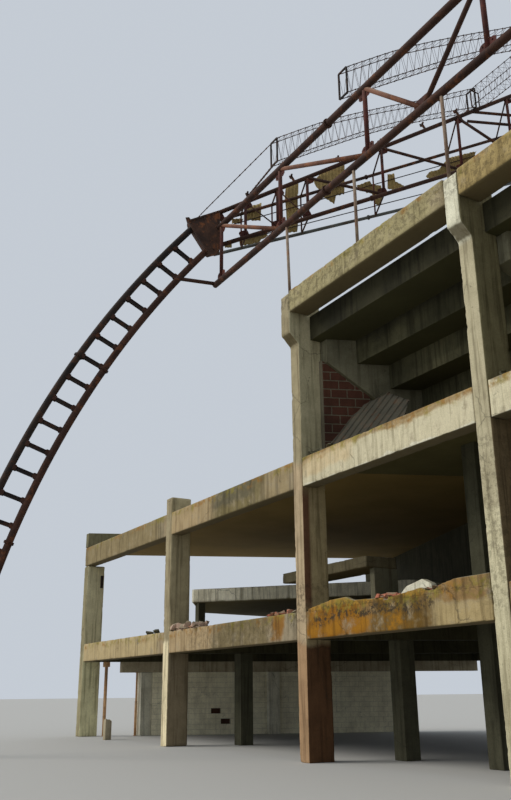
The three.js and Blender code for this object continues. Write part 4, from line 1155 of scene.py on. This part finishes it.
def soften(node, material, width=0.012):
    """Paints a CAD node that keeps its shape and rounds its edges a little."""
    piece = NODES[node]
    paint_only(piece.data, material)
    weld = piece.modifiers.new("weld", "WELD")
    weld.merge_threshold = WELD
    bevel = piece.modifiers.new("worn_edges", "BEVEL")
    bevel.width = width
    bevel.segments = 2
    bevel.limit_method = "ANGLE"
    bevel.angle_limit = math.radians(35)


def make_concrete(paints):
    for number in range(1, 6):
        fineness = 0.04 if number < 5 else 0.06
        weather(f"column_{number}", f"worn_column_{number}", paints["columns"], fineness)
    for level in ("l1", "l2"):
        for part, fineness in (("wing", 0.045), ("stand", 0.04)):
            node = f"floor_{level}_{part}"
            beam = f"edge_beam_{level}_{part}"
            weather(node, beam, paints["facade"], fineness, front_of=BEAM_CUT)
            slab = "lower_slab" if level == "l1" else f"{part}_slab"
            plain_rest(node, f"slab_{level}_{part}", paints[slab], BEAM_CUT)
    for number in (1, 2):
        weather(f"top_beam_{number}", f"worn_top_beam_{number}", paints["facade"])
    weather("broken_parapet", "worn_parapet", paints["facade"], 0.025, 0.015, sink=0.05)
    weather("mezzanine_slab", "worn_mezzanine", paints["mezzanine"], 0.06, 0.05)
    weather("landing_slab", "worn_landing", paints["landing"], 0.035, 0.04)
    for node in NODES:
        kind = next((key for start, key in SOFTENED if node.startswith(start)), None)
        if kind:
            soften(node, paints[kind])


def clip_below(outline, height_at):
    """The part of an outline of (y, z) points under a sloping line."""
    kept = []
    for (y0, z0), (y1, z1) in zip(outline, outline[1:] + outline[:1]):
        over0, over1 = z0 - height_at(y0), z1 - height_at(y1)
        if over0 <= 0:
            kept.append((y0, z0))
        if over0 * over1 < 0:
            share = over0 / (over0 - over1)
            kept.append((y0 + (y1 - y0) * share, z0 + (z1 - z0) * share))
    return kept


def lay_course_wall(shape, face_x, thickness, cells, inset, recess):
    """Blocks (paint 0) over a slightly set-back mortar body (paint 1), on a wall along the grid."""

    def push(outline, x0, x1):
        start = [Vector((x0 + y * SLANT, y, z)) for y, z in outline]
        shape.prism(start, RIGHT * (x1 - x0))

    for index, outline in enumerate(cells):
        middle = Vector((0, sum(y for y, z in outline), sum(z for y, z in outline))) / len(outline)
        shape.paint = 1
        push(outline, face_x - thickness + recess, face_x - recess)
        shape.paint = 0
        inner = []
        for y, z in outline:
            inner.append((y - math.copysign(inset, y - middle.y), z - math.copysign(inset, z - middle.z)))
        shift = 0.004 * noise.noise(Vector((index * 0.37, 2.0, 5.0)))
        push(inner, face_x - thickness - min(shift, 0), face_x - max(shift, 0))


def courses(first, last, bottom, height, count, length):
    """The cells of a wall in half bond: start, end, bottom and top of each."""
    for row in range(count):
        low, high = bottom + row * height, bottom + (row + 1) * height
        start = first - (length / 2 if row % 2 else 0.0)
        while start < last:
            yield max(start, first), min(start + length, last), low, high
            start += length


def make_block_wall(paints):
    shape = Shape()
    face_x = COLUMN_X[0] + (COLUMN_WIDTH + WALL_THICK) / 2
    length = BLOCK_LENGTH * math.sin(GRID_ANGLE)
    cells = []
    count = round(WALL_TOP / COURSE)
    for y0, y1, z0, z1 in courses(WALL_START, WALL_END, 0.0, WALL_TOP / count, count, length):
        if y1 - y0 < 0.05:
            continue
        outline = [(y0, z0), (y1, z0), (y1, z1), (y0, z1)]
        if not any(y0 <= y < y1 and z0 <= z < z1 for y, z in MISSING_BLOCKS):
            cells.append(outline)
            continue
        shape.paint = 2
        shape.prism([Vector((face_x - 0.12 + y * SLANT, y, z)) for y, z in outline], RIGHT * 0.04)
    lay_course_wall(shape, face_x, WALL_THICK, cells, *BLOCK_JOINT)
    shape.paint = 3
    pilaster_x = COLUMN_X[0]
    shape.block(pilaster_x, pilaster_x + COLUMN_WIDTH, ROW_C, ROW_C + INNER_DEPTH, 0, WALL_TOP, SLANT)
    add("block_wall", shape, paints, "block joint brick pilaster", "block", "end_wall")


def make_brick_infill(paints):
    shape = Shape()
    low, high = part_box("brick_infill")
    bottom, top = low.z, high.z
    y0, y1 = low.y - ORIGIN.y, high.y - ORIGIN.y
    face_x = (COLUMN_WIDTH + INFILL_THICK) / 2

    def line(y):
        return top - (y - y0) * RAKE

    cells = []
    count = math.ceil((top - bottom) / BRICK_COURSE)
    for a, b, z0, z1 in courses(y0 - INFILL_TUCK, y1, bottom, BRICK_COURSE, count, BRICK_LENGTH):
        if b - a < 0.04:
            continue
        cell = clip_below([(a, z0), (b, z0), (b, z1), (a, z1)], line)
        if len(cell) > 2:
            cells.append(cell)
    lay_course_wall(shape, face_x, INFILL_THICK, cells, *BRICK_JOINT)
    add("brick_wall", shape, paints, "brick mortar", "brick", "brick_infill")


def chunk(shape, centre, size, dice):
    """One lump of broken masonry that rests on the height of its centre's foot."""
    body = bmesh.new()
    for _ in range(14):
        spot = Vector([dice.uniform(-0.5, 0.5) for _ in range(3)])
        body.verts.new(Vector([spot[i] * size[i] for i in range(3)]))
    hull = bmesh.ops.convex_hull(body, input=body.verts)
    loose = [item for item in hull["geom_interior"] if isinstance(item, bmesh.types.BMVert)]
    bmesh.ops.delete(body, geom=loose, context="VERTS")
    turn = Matrix.Rotation(dice.uniform(0, math.pi), 3, "Z")
    body.verts.ensure_lookup_table()
    body.verts.index_update()
    points = [turn @ vertex.co for vertex in body.verts]
    lowest = min(point.z for point in points)
    first = len(shape.points)
    shape.points.extend(centre + point - UP * (lowest + 0.01) for point in points)
    for face in body.faces:
        shape.face([first + vertex.index for vertex in face.verts])
    body.free()


def make_rubble(paints):
    dice = random.Random(7)
    shape = Shape()
    for (x0, x1), (y0, y1), z, count, (small, large), paint in RUBBLE:
        shape.paint = paint
        for _ in range(count):
            size = dice.uniform(small, large)
            spot = Vector((dice.uniform(x0, x1), dice.uniform(y0, y1), z))
            chunk(shape, spot, (size, size * dice.uniform(0.6, 1.0), size * dice.uniform(0.35, 0.7)), dice)
    shape.paint = 3
    for outline, y0, y1 in SLAB_PIECES:
        shape.prism([Vector((x, y0, z)) for x, z in outline], INWARD * (y1 - y0))
    add("rubble", shape, paints, "rubble red_rubble inner pilaster", "concrete")


def make_props(paints):
    """Steel props under the wing, a stump beside them and a bracket on the first column."""
    prop = Shape()
    x = COLUMN_X[0] + (COLUMN_WIDTH - PROP_SIZE) / 2 + PROP_Y * SLANT
    axis = Vector((x + PROP_SIZE / 2, PROP_Y + PROP_SIZE / 2, 0))
    prop.tube([axis, axis + UP * PROP_SLEEVE], 0.05, 12)
    prop.tube([axis + UP * PROP_SLEEVE, axis + UP * WALL_TOP], 0.036, 12)
    for z in (WALL_TOP - PROP_PLATE, 0):
        prop.block(x, x + PROP_SIZE, PROP_Y, PROP_Y + PROP_SIZE, z, z + PROP_PLATE)
    pin = axis + UP * (PROP_SLEEVE + 0.02)
    prop.bar(pin - RIGHT * 0.075, pin + RIGHT * 0.075, circle(0.012, 6))
    add("prop_under_lintel", prop, paints, "prop_steel", "steel", "lintel_prop")
    post = Shape()
    foot_x, foot_y = FREE_PROP
    post.tube([Vector((foot_x, foot_y, 0)), Vector((foot_x, foot_y, FREE_PROP_TOP))], 0.065, 12)
    for half, z0, z1 in ((0.11, FREE_PROP_TOP, L1_SOFFIT), (0.1, 0, 0.015)):
        post.block(foot_x - half, foot_x + half, foot_y - half, foot_y + half, z0, z1)
    add("free_prop", post, paints, "prop_steel", "steel")
    stump = Shape()
    chipped = [(-1, -1, -0.02), (1, -1, 0.03), (1, 1, -0.06), (-1, 1, 0.0)]
    foot = [Vector((STUMP[0] + i * STUMP_SIZE / 2, STUMP[1] + j * STUMP_SIZE / 2, 0)) for i, j, _ in chipped]
    stump.loft([foot, [point + UP * (STUMP_TOP + drop) for point, (_, _, drop) in zip(foot, chipped)]], False)
    add("stump", stump, paints, "lintel", "concrete")
    bracket = Shape()
    bracket_x = COLUMN_X[0] + COLUMN_WIDTH + BRACKET_Y * SLANT
    bracket.block(bracket_x - 0.02, bracket_x + 0.05, BRACKET_Y, BRACKET_Y + 0.1, *BRACKET_HEIGHTS)
    add("bracket", bracket, paints, "dark_steel", "steel")


def make_camera():
    data = bpy.data.cameras.new("camera")
    data.sensor_width = SENSOR
    data.lens = FOCAL_PIXELS / max(PHOTO_SIZE) * SENSOR
    data.clip_end = 2000
    camera = link("camera", data)
    place = Matrix.Translation(ORIGIN + Vector(CAMERA_PLACE))
    for angle, axis in ((-CAMERA_AZIMUTH, "Z"), (math.pi / 2 + CAMERA_PITCH, "X"), (CAMERA_ROLL, "Z")):
        place = place @ Matrix.Rotation(angle, 4, axis)
    camera.matrix_world = place
    bpy.context.scene.camera = camera


def make_light():
    world = bpy.data.worlds.new("studio")
    bpy.context.scene.world = world
    world.use_nodes = True
    background = world.node_tree.nodes["Background"]
    background.inputs["Color"].default_value = SKY_COLOUR
    background.inputs["Strength"].default_value = SKY_POWER
    key = bpy.data.lights.new("key", "SUN")
    key.energy, key.angle, key.color = SUN_POWER, SUN_ANGLE, SUN_COLOUR
    link("key", key).rotation_euler = SUN_WAY.to_track_quat("-Z", "Y").to_euler()


def make_floor():
    bpy.ops.mesh.primitive_plane_add(size=FLOOR_SIZE)
    floor = bpy.context.object
    floor.name = "studio_floor"
    material = bpy.data.materials.new("studio_floor")
    material.use_nodes = True
    shader = material.node_tree.nodes["Principled BSDF"]
    shader.inputs["Base Color"].default_value = FLOOR_COLOUR
    shader.inputs["Roughness"].default_value = 0.9
    floor.data.materials.append(material)


paints = make_materials()
make_concrete(paints)
for frame_x, frame_name in zip(FRAME_X, FRAME_NAMES):
    make_leg(frame_x, frame_name, paints)
    make_roof_frame(frame_x, frame_name, paints)
make_girder(paints)
make_posts(paints)
make_rafters(paints)
make_eaves(paints)
make_cladding(paints)
make_fallen_sheet(paints)
make_block_wall(paints)
make_brick_infill(paints)
make_rubble(paints)
make_props(paints)

make_camera()
make_light()
make_floor()

bpy.context.scene.view_settings.view_transform = "Standard"
